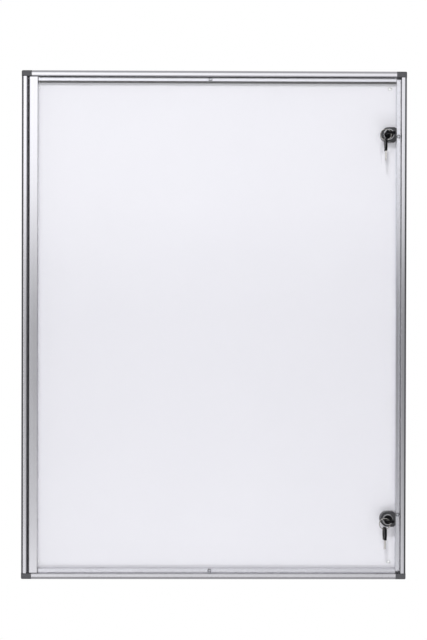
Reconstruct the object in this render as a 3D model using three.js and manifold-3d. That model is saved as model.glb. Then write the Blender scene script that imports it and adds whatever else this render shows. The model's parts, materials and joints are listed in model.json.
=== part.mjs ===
// Lockable notice board: a slim wall showcase of aluminium rails with plastic corners, a magnetic back panel
// and a clear door that is hinged on the left and locked twice on the right.
// Millimetres. X runs across, Z up, the wall is the plane y = 0 and the front faces -Y.
// The origin is the centre of the back. In a section, u runs inward from the outer edge and v out from the wall.
import * as THREE from "three";
import { mergeVertices } from "three/addons/utils/BufferGeometryUtils.js";
import Module from "manifold-3d";

const wasm = await Module();
wasm.setup();

// Board
const boardWidth = 750;
const boardHeight = 990;
const boardDepth = 30;

// Clearances shared by all pieces
const fitGap = 0.3;
const jointGap = 0.2;
const cutOverrun = 1;
const weldDistance = 0.0001;

// Back panel: three sheets held in the groove of the rails
const rearSheetThickness = 0.6;
const coreThickness = 4.5;
const displaySheetThickness = 1;
const panelGap = 0.2;
const panelEdgeGap = 0.3;
const wallHoleInset = 31;
const wallHoleRadius = 3.25;

// Rail section
const rimWidth = 12;
const ledgeWidth = 8;
const ledgeFront = 21;
const railWall = 1.4;
const rearLipThickness = 1.5;
const rimOuterRadius = 5.5;
const rimInnerRadius = 2.5;
const ledgeRadius = 1;

// Corner pieces
const cornerRadius = 4;
const cornerStep = 3;
const cornerLegLength = 34;
const cornerLegChamfer = 2.5;

// Door
const bumperHeight = 1.5;
const bumperRadius = 3.7;
const bumperPlay = 0.1;
const bumperInset = 126;
const bumperShift = 8;
const paneThickness = 4;
const paneEdgeGap = 1.6;
const paneCornerRadius = 6;
const tapeThickness = 0.5;

// Hinge strip along the left of the door
const hingeAxisInset = 17.2;
const hingeAxisFront = 25.5;
const stripBarrelRadius = 3.2;
const stripEdgeInset = 32;
const stripEndGap = 1;
const stripSlotFloor = 3.4;
const stripRearWall = 1;
const stripLegWall = 1.4;
const stripLegEnd = 10;
const stripLegEndGap = 1.5;
const stripEdgeRadius = 0.7;
const hingePinRadius = 1.4;
const hingePinInStrip = 18;
const hingePinInCorner = 5;
const hingePinGap = 0.2;
const washerRadius = 2.9;
const washerPlay = 0.2;

// Locks: a threaded cylinder through the door, a plate in front, a bolt case behind
const lockInset = 36;
const upperLockInset = 123;
const lowerLockInset = 117.6;
const lockPlateRadius = 14.4;
const lockPlateThickness = 3;
const lockPlateChamfer = 3.4;
const lockPlateBevel = 0.7;
const lockSideGap = 0.8;
const cylinderHeadRadius = 10.7;
const cylinderHeadHeight = 3.6;
const cylinderHeadBevel = 0.9;
const cylinderBarrelRadius = 8.5;
const plugFaceRadius = 8.4;
const plugFaceThickness = 2.1;
const plugRadius = 5.5;
const plugEndWall = 1;
const drivePinRadius = 1.3;
const drivePinOffset = 3.9;
const nutAcrossFlats = 21.5;
const nutThickness = 3.5;
const caseDepth = 10.6;
const caseWall = 1.3;
const caseFrontWall = 1.5;
const coverThickness = 1.5;
const boltThickness = 3;
const boltHalfHeight = 8;
const boltNoseHalfHeight = 6;
const boltWeb = 2.5;
const yokeGap = 0.4;
const guideThickness = 1.5;
const guideHeight = 2.4;
const keeperGap = 2;

// Keys and rings
const bladeThickness = 2;
const bladeHalfWidth = 3.5;
const bladeTip = 2;
const bladeCutDepth = 2;
const shoulderHalfWidth = 4.5;
const shoulderLength = 2.5;
const tangHalfWidth = 2.6;
const tangLength = 7;
const tangGap = 0.2;
const bowLength = 25;
const bowHalfWidth = 10.3;
const bowRootHalfWidth = 6.4;
const bowThickness = 4;
const bowBevel = 0.8;
const bowRootThickness = 5.4;
const bowRootLength = 3.2;
const bowHoleRadius = 3;
const bowHoleInset = 5.4;
const ringOuterRadius = 11;
const ringWireRadius = 0.6;
const ringPitch = 1.75;
const ringDrop = 1;

// Angles, counts and shares
const halfTurn = Math.PI;
const quarterTurn = halfTurn / 2;
const threeQuarterTurn = halfTurn + quarterTurn;
const fullTurn = 2 * halfTurn;
const ringHangAngle = 0.128 * halfTurn;
const lowerKeyTwist = 0.035 * halfTurn;
const ringStartAngle = 0.75 * halfTurn;
const ringTurns = 2;
const ringStepsPerTurn = 24;
const ringSides = 6;
const arcSteps = 6;
const turnedSteps = 32;
const smallTurnedSteps = 20;
const nutSides = 6;
const bladeCutShares = [0.45, 1, 0.6, 0.85, 0.35];
const bladeCutStartShare = 0.14;
const bladeCutPitchShare = 0.15;
const bladeCutFlatShare = 0.35;
const bowWaistShare = 0.56;
const bowCrownShare = 0.9;
const bumperEdgeShare = 0.55;
const bumperCrownShare = 0.8;

// Levels and widths that several pieces share
const sectionWidth = rimWidth + ledgeWidth;
const rearSheetRear = rearLipThickness + panelGap;
const coreRear = rearSheetRear + rearSheetThickness;
const displaySheetRear = coreRear + coreThickness;
const grooveFront = displaySheetRear + displaySheetThickness + panelGap;
const paneRear = ledgeFront + bumperHeight + bumperPlay;
const paneFront = paneRear + paneThickness;
const stripFront = hingeAxisFront + stripBarrelRadius;
const stripHalfLength = boardHeight / 2 - rimWidth - stripEndGap;
const lockX = boardWidth / 2 - lockInset;
const upperLockZ = boardHeight / 2 - upperLockInset;
const lowerLockZ = lowerLockInset - boardHeight / 2;
const lockRightEdge = lockInset - sectionWidth - lockSideGap;
const plateFront = paneFront + lockPlateThickness;
const plugFront = plateFront + cylinderHeadHeight;
const caseRear = paneRear - caseDepth;
const boltRear = caseRear + fitGap;
const boltFront = boltRear + boltThickness;
const cylinderRear = boltFront + fitGap;
const keywayEnd = cylinderRear + plugEndWall;
const bladeLength = plugFront - keywayEnd - fitGap;
const bowRear = plugFront + fitGap + shoulderLength;
const boltThrow = 2 * drivePinOffset * Math.sin(quarterTurn / 2);
const ringMeanRadius = ringOuterRadius - ringWireRadius;
const uprightLength = boardHeight - 2 * (rimWidth + jointGap);
const crossRailLength = boardWidth - 2 * (sectionWidth + jointGap);
const hingeX = -boardWidth / 2 + hingeAxisInset;
const hingeY = -hingeAxisFront;
const paneLeft = -boardWidth / 2 + hingeAxisInset + stripSlotFloor + fitGap;
const paneRight = boardWidth / 2 - rimWidth - paneEdgeGap;
const paneHalfHeight = boardHeight / 2 - rimWidth - paneEdgeGap;
const boltShoulder = lockRightEdge - caseWall - boltThrow - fitGap;
const boltLeftEnd = -boltThrow / 2 - drivePinRadius - yokeGap - boltWeb;

const materials = {
  aluminium: new THREE.MeshStandardMaterial({ color: 0xc3c4c8, roughness: 0.35, metalness: 1 }),
  cornerPlastic: new THREE.MeshStandardMaterial({ color: 0x4b4b50, roughness: 0.55, metalness: 0 }),
  enamel: new THREE.MeshStandardMaterial({ color: 0xecebf2, roughness: 0.3, metalness: 0 }),
  board: new THREE.MeshStandardMaterial({ color: 0xb89b72, roughness: 0.9, metalness: 0 }),
  galvanised: new THREE.MeshStandardMaterial({ color: 0xa9adb1, roughness: 0.5, metalness: 1 }),
  acrylic: new THREE.MeshStandardMaterial({
    color: 0xf2f5fa,
    roughness: 0.05,
    metalness: 0,
    transparent: true,
    opacity: 0.2,
  }),
  clearRubber: new THREE.MeshStandardMaterial({ color: 0xd9dade, roughness: 0.2, metalness: 0 }),
  tape: new THREE.MeshStandardMaterial({ color: 0x2c2c2f, roughness: 0.8, metalness: 0 }),
  steel: new THREE.MeshStandardMaterial({ color: 0x9a9ca0, roughness: 0.35, metalness: 1 }),
  nylon: new THREE.MeshStandardMaterial({ color: 0x2a2a2c, roughness: 0.6, metalness: 0 }),
  lockPlastic: new THREE.MeshStandardMaterial({ color: 0x3e3e43, roughness: 0.45, metalness: 0 }),
  chrome: new THREE.MeshStandardMaterial({ color: 0xd8d9dc, roughness: 0.1, metalness: 1 }),
  blackFace: new THREE.MeshStandardMaterial({ color: 0x101012, roughness: 0.35, metalness: 0 }),
  zinc: new THREE.MeshStandardMaterial({ color: 0x8f9296, roughness: 0.45, metalness: 1 }),
  keyPlastic: new THREE.MeshStandardMaterial({ color: 0x0b0b0c, roughness: 0.4, metalness: 0 }),
  keyMetal: new THREE.MeshStandardMaterial({ color: 0xb9b8b4, roughness: 0.3, metalness: 1 }),
};

const right = new THREE.Vector3(1, 0, 0);
const left = new THREE.Vector3(-1, 0, 0);
const up = new THREE.Vector3(0, 0, 1);
const down = new THREE.Vector3(0, 0, -1);
const outFromWall = new THREE.Vector3(0, -1, 0);

// A closed geometry as a solid that can be joined and cut.
function solidOf(geometry) {
  const bare = geometry.clone();
  bare.deleteAttribute("normal");
  bare.deleteAttribute("uv");
  const merged = mergeVertices(bare, weldDistance);
  const mesh = new wasm.Mesh({
    numProp: 3,
    vertProperties: merged.attributes.position.array,
    triVerts: new Uint32Array(merged.index.array),
  });
  return new wasm.Manifold(mesh);
}

function geometryOf(solid) {
  const mesh = solid.getMesh();
  const geometry = new THREE.BufferGeometry();
  geometry.setAttribute("position", new THREE.BufferAttribute(mesh.vertProperties, mesh.numProp));
  geometry.setIndex(new THREE.BufferAttribute(mesh.triVerts, 1));
  const faceted = geometry.toNonIndexed();
  faceted.computeVertexNormals();
  return faceted;
}

function joined(...geometries) {
  return geometryOf(geometries.map(solidOf).reduce((sum, solid) => sum.add(solid)));
}

function common(...geometries) {
  return geometryOf(geometries.map(solidOf).reduce((shared, solid) => shared.intersect(solid)));
}

function cut(geometry, ...cutters) {
  return geometryOf(cutters.map(solidOf).reduce((rest, solid) => rest.subtract(solid), solidOf(geometry)));
}

function addMesh(group, name, geometry, material) {
  const mesh = new THREE.Mesh(geometry, material);
  mesh.name = name;
  group.add(mesh);
  return mesh;
}

function boxBetween(corner, opposite) {
  const size = new THREE.Vector3().subVectors(opposite, corner);
  const middle = new THREE.Vector3().addVectors(corner, opposite).divideScalar(2);
  const box = new THREE.BoxGeometry(Math.abs(size.x), Math.abs(size.y), Math.abs(size.z));
  return box.translate(middle.x, middle.y, middle.z);
}

// A shape drawn in two directions, extruded to both sides of a centre.
function extrudedAbout(shape, length, firstDirection, secondDirection, centre, options = {}) {
  const geometry = new THREE.ExtrudeGeometry(shape, {
    depth: length,
    bevelEnabled: false,
    curveSegments: arcSteps,
    ...options,
  });
  const third = new THREE.Vector3().crossVectors(firstDirection, secondDirection);
  const basis = new THREE.Matrix4().makeBasis(firstDirection, secondDirection, third);
  return geometry
    .translate(0, 0, -length / 2)
    .applyMatrix4(basis)
    .translate(centre.x, centre.y, centre.z);
}

// A plate parallel to the wall: its outline is drawn in X and Z, its faces lie at two distances from the wall.
function plate(shape, rear, front, options = {}) {
  const centre = new THREE.Vector3(0, -(rear + front) / 2, 0);
  return extrudedAbout(shape, front - rear, right, up, centre, options);
}

// The same with both edges rounded, inside the outline.
function softPlate(shape, rear, front, bevel) {
  const depth = front - rear - 2 * bevel;
  const centre = new THREE.Vector3(0, -(rear + front) / 2, 0);
  return extrudedAbout(shape, depth, right, up, centre, bevelOptions(bevel));
}

function bevelOptions(bevel) {
  return {
    bevelEnabled: true,
    bevelThickness: bevel,
    bevelSize: bevel,
    bevelOffset: -bevel,
    bevelSegments: 2,
  };
}

// A turned piece round an axis along Y, from points given as radius and distance from the wall.
function turned(points, steps = turnedSteps) {
  const profile = points.map(([radius, front]) => new THREE.Vector2(radius, -front));
  return new THREE.LatheGeometry(profile.reverse(), steps);
}

function circleHole(x, y, radius) {
  return new THREE.Path().absarc(x, y, radius, 0, fullTurn, true);
}

function rectangle(halfWidth, halfHeight) {
  const shape = new THREE.Shape();
  shape.moveTo(-halfWidth, -halfHeight);
  shape.lineTo(halfWidth, -halfHeight);
  shape.lineTo(halfWidth, halfHeight);
  shape.lineTo(-halfWidth, halfHeight);
  shape.closePath();
  return shape;
}

// Front outline of the rim, from the inner face round to the outer face.
function drawRimFront(path) {
  path.lineTo(rimWidth, boardDepth - rimInnerRadius);
  const innerCentre = rimWidth - rimInnerRadius;
  path.absarc(innerCentre, boardDepth - rimInnerRadius, rimInnerRadius, 0, quarterTurn, false);
  path.absarc(rimOuterRadius, boardDepth - rimOuterRadius, rimOuterRadius, quarterTurn, halfTurn, false);
  path.closePath();
}

function railShape() {
  const shape = new THREE.Shape();
  shape.moveTo(0, 0);
  shape.lineTo(sectionWidth, 0);
  shape.lineTo(sectionWidth, rearLipThickness);
  shape.lineTo(rimWidth, rearLipThickness);
  shape.lineTo(rimWidth, grooveFront);
  shape.lineTo(sectionWidth, grooveFront);
  shape.lineTo(sectionWidth, ledgeFront - ledgeRadius);
  shape.absarc(sectionWidth - ledgeRadius, ledgeFront - ledgeRadius, ledgeRadius, 0, quarterTurn, false);
  shape.lineTo(rimWidth, ledgeFront);
  drawRimFront(shape);
  shape.holes.push(rimChamber(), ledgeChamber());
  return shape;
}

function rimChamber() {
  const chamber = new THREE.Path();
  const radius = rimOuterRadius - railWall;
  chamber.moveTo(railWall, railWall);
  chamber.lineTo(railWall, boardDepth - rimOuterRadius);
  chamber.absarc(rimOuterRadius, boardDepth - rimOuterRadius, radius, halfTurn, quarterTurn, true);
  chamber.lineTo(rimWidth - rimInnerRadius, boardDepth - railWall);
  chamber.lineTo(rimWidth - railWall, boardDepth - rimInnerRadius);
  chamber.lineTo(rimWidth - railWall, railWall);
  chamber.closePath();
  return chamber;
}

function ledgeChamber() {
  const chamber = new THREE.Path();
  chamber.moveTo(rimWidth, grooveFront + railWall);
  chamber.lineTo(rimWidth, ledgeFront - railWall);
  chamber.lineTo(sectionWidth - railWall, ledgeFront - railWall);
  chamber.lineTo(sectionWidth - railWall, grooveFront + railWall);
  chamber.closePath();
  return chamber;
}

function railBlank(inward, length, edgeMiddle) {
  return extrudedAbout(railShape(), length, inward, outFromWall, edgeMiddle);
}

// The ledge of an upright stops short, so that the corner piece shows beside the rim.
function ledgeNotch(side, end) {
  const outerX = (side * boardWidth) / 2;
  const outerZ = (end * boardHeight) / 2;
  const corner = new THREE.Vector3(
    outerX - side * rimWidth,
    -(grooveFront - cutOverrun),
    outerZ - end * (rimWidth - cutOverrun),
  );
  const opposite = new THREE.Vector3(
    outerX - side * (sectionWidth + cutOverrun),
    -(ledgeFront + cutOverrun),
    outerZ - end * (rimWidth + cornerStep + jointGap),
  );
  return boxBetween(corner, opposite);
}

// The slot in the ledge that the bolt of a lock is thrown into.
function keeperSlot(z) {
  const inner = boardWidth / 2 - sectionWidth;
  const halfHeight = boltNoseHalfHeight + keeperGap;
  const corner = new THREE.Vector3(inner - cutOverrun, -(boltRear - keeperGap), z - halfHeight);
  const opposite = new THREE.Vector3(
    inner + railWall + cutOverrun,
    -(boltFront + keeperGap),
    z + halfHeight,
  );
  return boxBetween(corner, opposite);
}

function buildRails(group) {
  const leftEdge = new THREE.Vector3(-boardWidth / 2, 0, 0);
  const rightEdge = new THREE.Vector3(boardWidth / 2, 0, 0);
  const topEdge = new THREE.Vector3(0, 0, boardHeight / 2);
  const bottomEdge = new THREE.Vector3(0, 0, -boardHeight / 2);
  const leftRail = railBlank(right, uprightLength, leftEdge);
  const rightRail = railBlank(left, uprightLength, rightEdge);
  const topRail = railBlank(down, crossRailLength, topEdge);
  const bottomRail = railBlank(up, crossRailLength, bottomEdge);
  const leftNotches = [ledgeNotch(-1, 1), ledgeNotch(-1, -1)];
  const rightNotches = [ledgeNotch(1, 1), ledgeNotch(1, -1)];
  const keepers = [keeperSlot(upperLockZ), keeperSlot(lowerLockZ)];
  addMesh(group, "rail_left", cut(leftRail, ...leftNotches), materials.aluminium);
  addMesh(group, "rail_right", cut(rightRail, ...rightNotches, ...keepers), materials.aluminium);
  addMesh(group, "rail_top", topRail, materials.aluminium);
  addMesh(group, "rail_bottom", bottomRail, materials.aluminium);
}

// The front outline of a corner piece over the upright: only its outer edge is rounded.
function cornerSideShape() {
  const shape = new THREE.Shape();
  shape.moveTo(0, 0);
  shape.lineTo(sectionWidth, 0);
  shape.lineTo(sectionWidth, boardDepth);
  shape.absarc(rimOuterRadius, boardDepth - rimOuterRadius, rimOuterRadius, quarterTurn, halfTurn, false);
  shape.closePath();
  return shape;
}

function rimShape() {
  const shape = new THREE.Shape();
  shape.moveTo(0, 0);
  shape.lineTo(rimWidth, 0);
  drawRimFront(shape);
  return shape;
}

function cornerPlanShape() {
  const shape = new THREE.Shape();
  shape.moveTo(sectionWidth, 0);
  shape.lineTo(sectionWidth, rimWidth);
  shape.lineTo(0, rimWidth);
  shape.absarc(cornerRadius, cornerRadius, cornerRadius, halfTurn, threeQuarterTurn, false);
  shape.closePath();
  return shape;
}

// A leg lies in the chamber of a rail and is tapered at its tip.
function cornerLegShape(start) {
  const near = railWall + fitGap;
  const far = rimWidth - railWall - fitGap;
  const end = start + cornerLegLength;
  const shape = new THREE.Shape();
  shape.moveTo(start - cutOverrun, near);
  shape.lineTo(end - cornerLegChamfer, near);
  shape.lineTo(end, near + cornerLegChamfer);
  shape.lineTo(end, far - cornerLegChamfer);
  shape.lineTo(end - cornerLegChamfer, far);
  shape.lineTo(start - cutOverrun, far);
  shape.closePath();
  return shape;
}

function cornerGeometry(side, end) {
  const inwardX = new THREE.Vector3(-side, 0, 0);
  const inwardZ = new THREE.Vector3(0, 0, -end);
  const outerX = (side * boardWidth) / 2;
  const outerZ = (end * boardHeight) / 2;
  const middleY = -boardDepth / 2;
  const acrossCentre = new THREE.Vector3(outerX - (side * sectionWidth) / 2, 0, outerZ);
  const uprightCentre = new THREE.Vector3(outerX, 0, outerZ - (end * rimWidth) / 2);
  const planCentre = new THREE.Vector3(outerX, middleY, outerZ);
  const block = common(
    extrudedAbout(rimShape(), sectionWidth, inwardZ, outFromWall, acrossCentre),
    extrudedAbout(cornerSideShape(), rimWidth, inwardX, outFromWall, uprightCentre),
    extrudedAbout(cornerPlanShape(), boardDepth, inwardX, inwardZ, planCentre),
  );
  const legRear = railWall + fitGap;
  const legFront = boardDepth - rimOuterRadius;
  const legCentre = new THREE.Vector3(outerX, -(legRear + legFront) / 2, outerZ);
  const legDepth = legFront - legRear;
  const acrossLeg = extrudedAbout(cornerLegShape(sectionWidth), legDepth, inwardX, inwardZ, legCentre);
  const uprightLeg = extrudedAbout(cornerLegShape(rimWidth), legDepth, inwardZ, inwardX, legCentre);
  const step = boxBetween(
    new THREE.Vector3(
      outerX - side * (rimWidth + jointGap),
      -(grooveFront + jointGap),
      outerZ - end * (rimWidth - cutOverrun),
    ),
    new THREE.Vector3(
      outerX - side * sectionWidth,
      -(ledgeFront - jointGap),
      outerZ - end * (rimWidth + cornerStep),
    ),
  );
  return joined(block, acrossLeg, uprightLeg, step);
}

// The blind hole in a left corner piece, in which a hinge pin turns.
function pivotHole(end) {
  const depth = hingePinInCorner + fitGap;
  const length = depth + cutOverrun;
  const radius = hingePinRadius + hingePinGap;
  const z = end * (boardHeight / 2 - rimWidth + depth - length / 2);
  return new THREE.CylinderGeometry(radius, radius, length, smallTurnedSteps)
    .rotateX(quarterTurn)
    .translate(hingeX, hingeY, z);
}

function buildCorners(group) {
  for (const [end, endName] of [[1, "top"], [-1, "bottom"]]) {
    const hinged = cut(cornerGeometry(-1, end), pivotHole(end));
    addMesh(group, `corner_${endName}_left`, hinged, materials.cornerPlastic);
    addMesh(group, `corner_${endName}_right`, cornerGeometry(1, end), materials.cornerPlastic);
  }
}

function panelShape() {
  const inset = rimWidth + panelEdgeGap;
  const shape = rectangle(boardWidth / 2 - inset, boardHeight / 2 - inset);
  for (const side of [-1, 1]) {
    for (const end of [-1, 1]) {
      const x = side * (boardWidth / 2 - wallHoleInset);
      const z = end * (boardHeight / 2 - wallHoleInset);
      shape.holes.push(circleHole(x, z, wallHoleRadius));
    }
  }
  return shape;
}

function buildBackPanel(group) {
  const displayFront = displaySheetRear + displaySheetThickness;
  addMesh(group, "rear_sheet", plate(panelShape(), rearSheetRear, coreRear), materials.galvanised);
  addMesh(group, "core_board", plate(panelShape(), coreRear, displaySheetRear), materials.board);
  addMesh(group, "display_sheet", plate(panelShape(), displaySheetRear, displayFront), materials.enamel);
}

function bumperGeometry(x, z) {
  const dome = turned([
    [0, ledgeFront],
    [bumperRadius, ledgeFront],
    [bumperRadius * bumperCrownShare, ledgeFront + bumperHeight * bumperEdgeShare],
    [0, ledgeFront + bumperHeight],
  ], smallTurnedSteps);
  return dome.translate(x, 0, z);
}

function buildBumpers(group) {
  const ledgeMiddle = rimWidth + ledgeWidth / 2;
  const sideX = boardWidth / 2 - ledgeMiddle;
  const endZ = boardHeight / 2 - ledgeMiddle;
  const sideZ = boardHeight / 2 - bumperInset;
  addMesh(group, "bumper_top", bumperGeometry(-bumperShift, endZ), materials.clearRubber);
  addMesh(group, "bumper_bottom", bumperGeometry(-bumperShift, -endZ), materials.clearRubber);
  addMesh(group, "bumper_upper_right", bumperGeometry(sideX, sideZ), materials.clearRubber);
  addMesh(group, "bumper_lower_right", bumperGeometry(sideX, -sideZ), materials.clearRubber);
}

// The washer that the strip turns on, between its end and the corner piece.
function washerGeometry(end) {
  const thickness = stripEndGap - 2 * washerPlay;
  const bore = hingePinRadius + hingePinGap;
  const ring = turned([
    [bore, 0],
    [washerRadius, 0],
    [washerRadius, thickness],
    [bore, thickness],
    [bore, 0],
  ], smallTurnedSteps).rotateX(-end * quarterTurn);
  return ring.translate(hingeX, hingeY, end * (stripHalfLength + washerPlay));
}

function hingePinGeometry(end) {
  const length = hingePinInStrip + stripEndGap + hingePinInCorner;
  const start = stripHalfLength - hingePinInStrip;
  return new THREE.CylinderGeometry(hingePinRadius, hingePinRadius, length, smallTurnedSteps)
    .rotateX(quarterTurn)
    .translate(hingeX, hingeY, end * (start + length / 2));
}

// The strip wraps a knuckle round the hinge axis, holds the door pane in a slot and has a leg behind it.
function stripShape() {
  const slotFloor = hingeAxisInset + stripSlotFloor;
  const slotRear = paneRear - fitGap;
  const slotFront = paneFront + tapeThickness;
  const rear = slotRear - stripRearWall;
  const shape = new THREE.Shape();
  shape.moveTo(hingeAxisInset, rear);
  shape.lineTo(stripEdgeInset - stripLegWall, rear);
  shape.lineTo(stripEdgeInset - stripLegWall, stripLegEnd);
  shape.lineTo(stripEdgeInset, stripLegEnd);
  shape.lineTo(stripEdgeInset, slotRear);
  shape.lineTo(slotFloor, slotRear);
  shape.lineTo(slotFloor, slotFront);
  shape.lineTo(stripEdgeInset, slotFront);
  shape.lineTo(stripEdgeInset, stripFront - stripEdgeRadius);
  const edgeCentre = stripEdgeInset - stripEdgeRadius;
  shape.absarc(edgeCentre, stripFront - stripEdgeRadius, stripEdgeRadius, 0, quarterTurn, false);
  shape.absarc(hingeAxisInset, hingeAxisFront, stripBarrelRadius, quarterTurn, threeQuarterTurn, false);
  shape.closePath();
  shape.holes.push(circleHole(hingeAxisInset, hingeAxisFront, hingePinRadius + fitGap));
  return shape;
}

// The leg ends short of the ledges above and below.
function legNotch(end) {
  const legHalfLength = boardHeight / 2 - sectionWidth - stripLegEndGap;
  const rear = paneRear - fitGap - stripRearWall;
  const x = -boardWidth / 2 + stripEdgeInset;
  return boxBetween(
    new THREE.Vector3(x + cutOverrun, -rear, end * legHalfLength),
    new THREE.Vector3(
      x - stripLegWall - cutOverrun,
      -(stripLegEnd - cutOverrun),
      end * (stripHalfLength + cutOverrun),
    ),
  );
}

function buildHinge(frameGroup, doorGroup) {
  const leftEdge = new THREE.Vector3(-boardWidth / 2, 0, 0);
  const strip = extrudedAbout(stripShape(), 2 * stripHalfLength, right, outFromWall, leftEdge);
  addMesh(doorGroup, "hinge_strip", cut(strip, legNotch(1), legNotch(-1)), materials.aluminium);
  for (const [end, endName] of [[1, "top"], [-1, "bottom"]]) {
    addMesh(frameGroup, `hinge_washer_${endName}`, washerGeometry(end), materials.nylon);
    addMesh(doorGroup, `hinge_pin_${endName}`, hingePinGeometry(end), materials.steel);
  }
}

function paneShape() {
  const shape = new THREE.Shape();
  const arcX = paneRight - paneCornerRadius;
  const arcZ = paneHalfHeight - paneCornerRadius;
  shape.moveTo(paneLeft, -paneHalfHeight);
  shape.lineTo(arcX, -paneHalfHeight);
  shape.absarc(arcX, -arcZ, paneCornerRadius, -quarterTurn, 0, false);
  shape.absarc(arcX, arcZ, paneCornerRadius, 0, quarterTurn, false);
  shape.lineTo(paneLeft, paneHalfHeight);
  shape.closePath();
  shape.holes.push(circleHole(lockX, upperLockZ, cylinderBarrelRadius + fitGap));
  shape.holes.push(circleHole(lockX, lowerLockZ, cylinderBarrelRadius + fitGap));
  return shape;
}

function buildPane(group) {
  const tapeRight = -boardWidth / 2 + stripEdgeInset - stripEdgeRadius;
  const tape = boxBetween(
    new THREE.Vector3(paneLeft, -paneFront, -paneHalfHeight),
    new THREE.Vector3(tapeRight, -(paneFront + tapeThickness), paneHalfHeight),
  );
  addMesh(group, "door_pane", plate(paneShape(), paneRear, paneFront), materials.acrylic);
  addMesh(group, "pane_tape", tape, materials.tape);
}

// Round to the left of the lock and square towards the rail, with its corners cut off.
function lockOutline(inset = 0) {
  const radius = lockPlateRadius - inset;
  const edge = lockRightEdge - inset;
  const shape = new THREE.Shape();
  shape.moveTo(0, -radius);
  shape.lineTo(edge - lockPlateChamfer, -radius);
  shape.lineTo(edge, -radius + lockPlateChamfer);
  shape.lineTo(edge, radius - lockPlateChamfer);
  shape.lineTo(edge - lockPlateChamfer, radius);
  shape.absarc(0, 0, radius, quarterTurn, threeQuarterTurn, false);
  return shape;
}

function lockPlateGeometry() {
  const shape = lockOutline();
  shape.holes.push(circleHole(0, 0, cylinderBarrelRadius + fitGap));
  return softPlate(shape, paneFront, plateFront, lockPlateBevel);
}

function cylinderGeometry() {
  const boreRadius = plugRadius + fitGap;
  const faceRadius = plugFaceRadius + fitGap;
  const faceFloor = plugFront - plugFaceThickness - fitGap;
  return turned([
    [boreRadius, cylinderRear],
    [cylinderBarrelRadius, cylinderRear],
    [cylinderBarrelRadius, plateFront],
    [cylinderHeadRadius, plateFront],
    [cylinderHeadRadius, plugFront - cylinderHeadBevel],
    [cylinderHeadRadius - cylinderHeadBevel, plugFront],
    [faceRadius, plugFront],
    [faceRadius, faceFloor],
    [boreRadius, faceFloor],
    [boreRadius, cylinderRear],
  ]);
}

// The plug turns with the key, and its eccentric pin throws the bolt.
function plugGeometry() {
  const faceRear = plugFront - plugFaceThickness;
  const body = turned([
    [0, cylinderRear],
    [plugRadius, cylinderRear],
    [plugRadius, faceRear],
    [plugFaceRadius, faceRear],
    [plugFaceRadius, plugFront],
    [0, plugFront],
  ]);
  const pinLength = cylinderRear + plugEndWall - boltRear;
  const pinShift = boltThrow / 2;
  const pin = new THREE.CylinderGeometry(drivePinRadius, drivePinRadius, pinLength, smallTurnedSteps)
    .translate(-pinShift, -(boltRear + pinLength / 2), pinShift);
  const keyway = boxBetween(
    new THREE.Vector3(-bladeHalfWidth - fitGap, -keywayEnd, -bladeThickness / 2 - fitGap),
    new THREE.Vector3(bladeHalfWidth + fitGap, -(plugFront + cutOverrun), bladeThickness / 2 + fitGap),
  );
  return cut(joined(body, pin), keyway);
}

function nutGeometry() {
  const cornerDistance = nutAcrossFlats / 2 / Math.cos(halfTurn / nutSides);
  const shape = new THREE.Shape();
  for (let corner = 0; corner < nutSides; corner++) {
    const angle = (corner * fullTurn) / nutSides;
    const x = cornerDistance * Math.cos(angle);
    const z = cornerDistance * Math.sin(angle);
    if (corner === 0) shape.moveTo(x, z);
    else shape.lineTo(x, z);
  }
  shape.closePath();
  shape.holes.push(circleHole(0, 0, cylinderBarrelRadius + fitGap));
  const nutFront = paneRear - caseFrontWall;
  return plate(shape, nutFront - nutThickness, nutFront);
}

// A cup behind the pane, open to the rear, with a gate for the bolt in its square side.
function lockCaseGeometry() {
  const shell = plate(lockOutline(), caseRear, paneRear);
  const cavity = plate(lockOutline(caseWall), caseRear - cutOverrun, paneRear - caseFrontWall);
  const holeLength = caseFrontWall + 2 * cutOverrun;
  const holeRadius = cylinderBarrelRadius + fitGap;
  const hole = new THREE.CylinderGeometry(holeRadius, holeRadius, holeLength, turnedSteps)
    .translate(0, -(paneRear - caseFrontWall / 2), 0);
  const gate = boxBetween(
    new THREE.Vector3(
      lockRightEdge - caseWall - cutOverrun,
      -(caseRear - cutOverrun),
      -boltNoseHalfHeight - fitGap,
    ),
    new THREE.Vector3(lockRightEdge + cutOverrun, -(boltFront + fitGap), boltNoseHalfHeight + fitGap),
  );
  return cut(shell, cavity, hole, gate);
}

// The cover closes the case and guides the bolt between two ribs.
function lockCoverGeometry() {
  const base = plate(lockOutline(), caseRear - coverThickness, caseRear);
  const ribs = [-1, 1].map((end) =>
    boxBetween(
      new THREE.Vector3(
        boltLeftEnd,
        -(caseRear - cutOverrun),
        end * (boltHalfHeight + fitGap),
      ),
      new THREE.Vector3(
        boltShoulder + boltThrow,
        -(caseRear + guideHeight),
        end * (boltHalfHeight + fitGap + guideThickness),
      ),
    ),
  );
  return joined(base, ...ribs);
}

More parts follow.
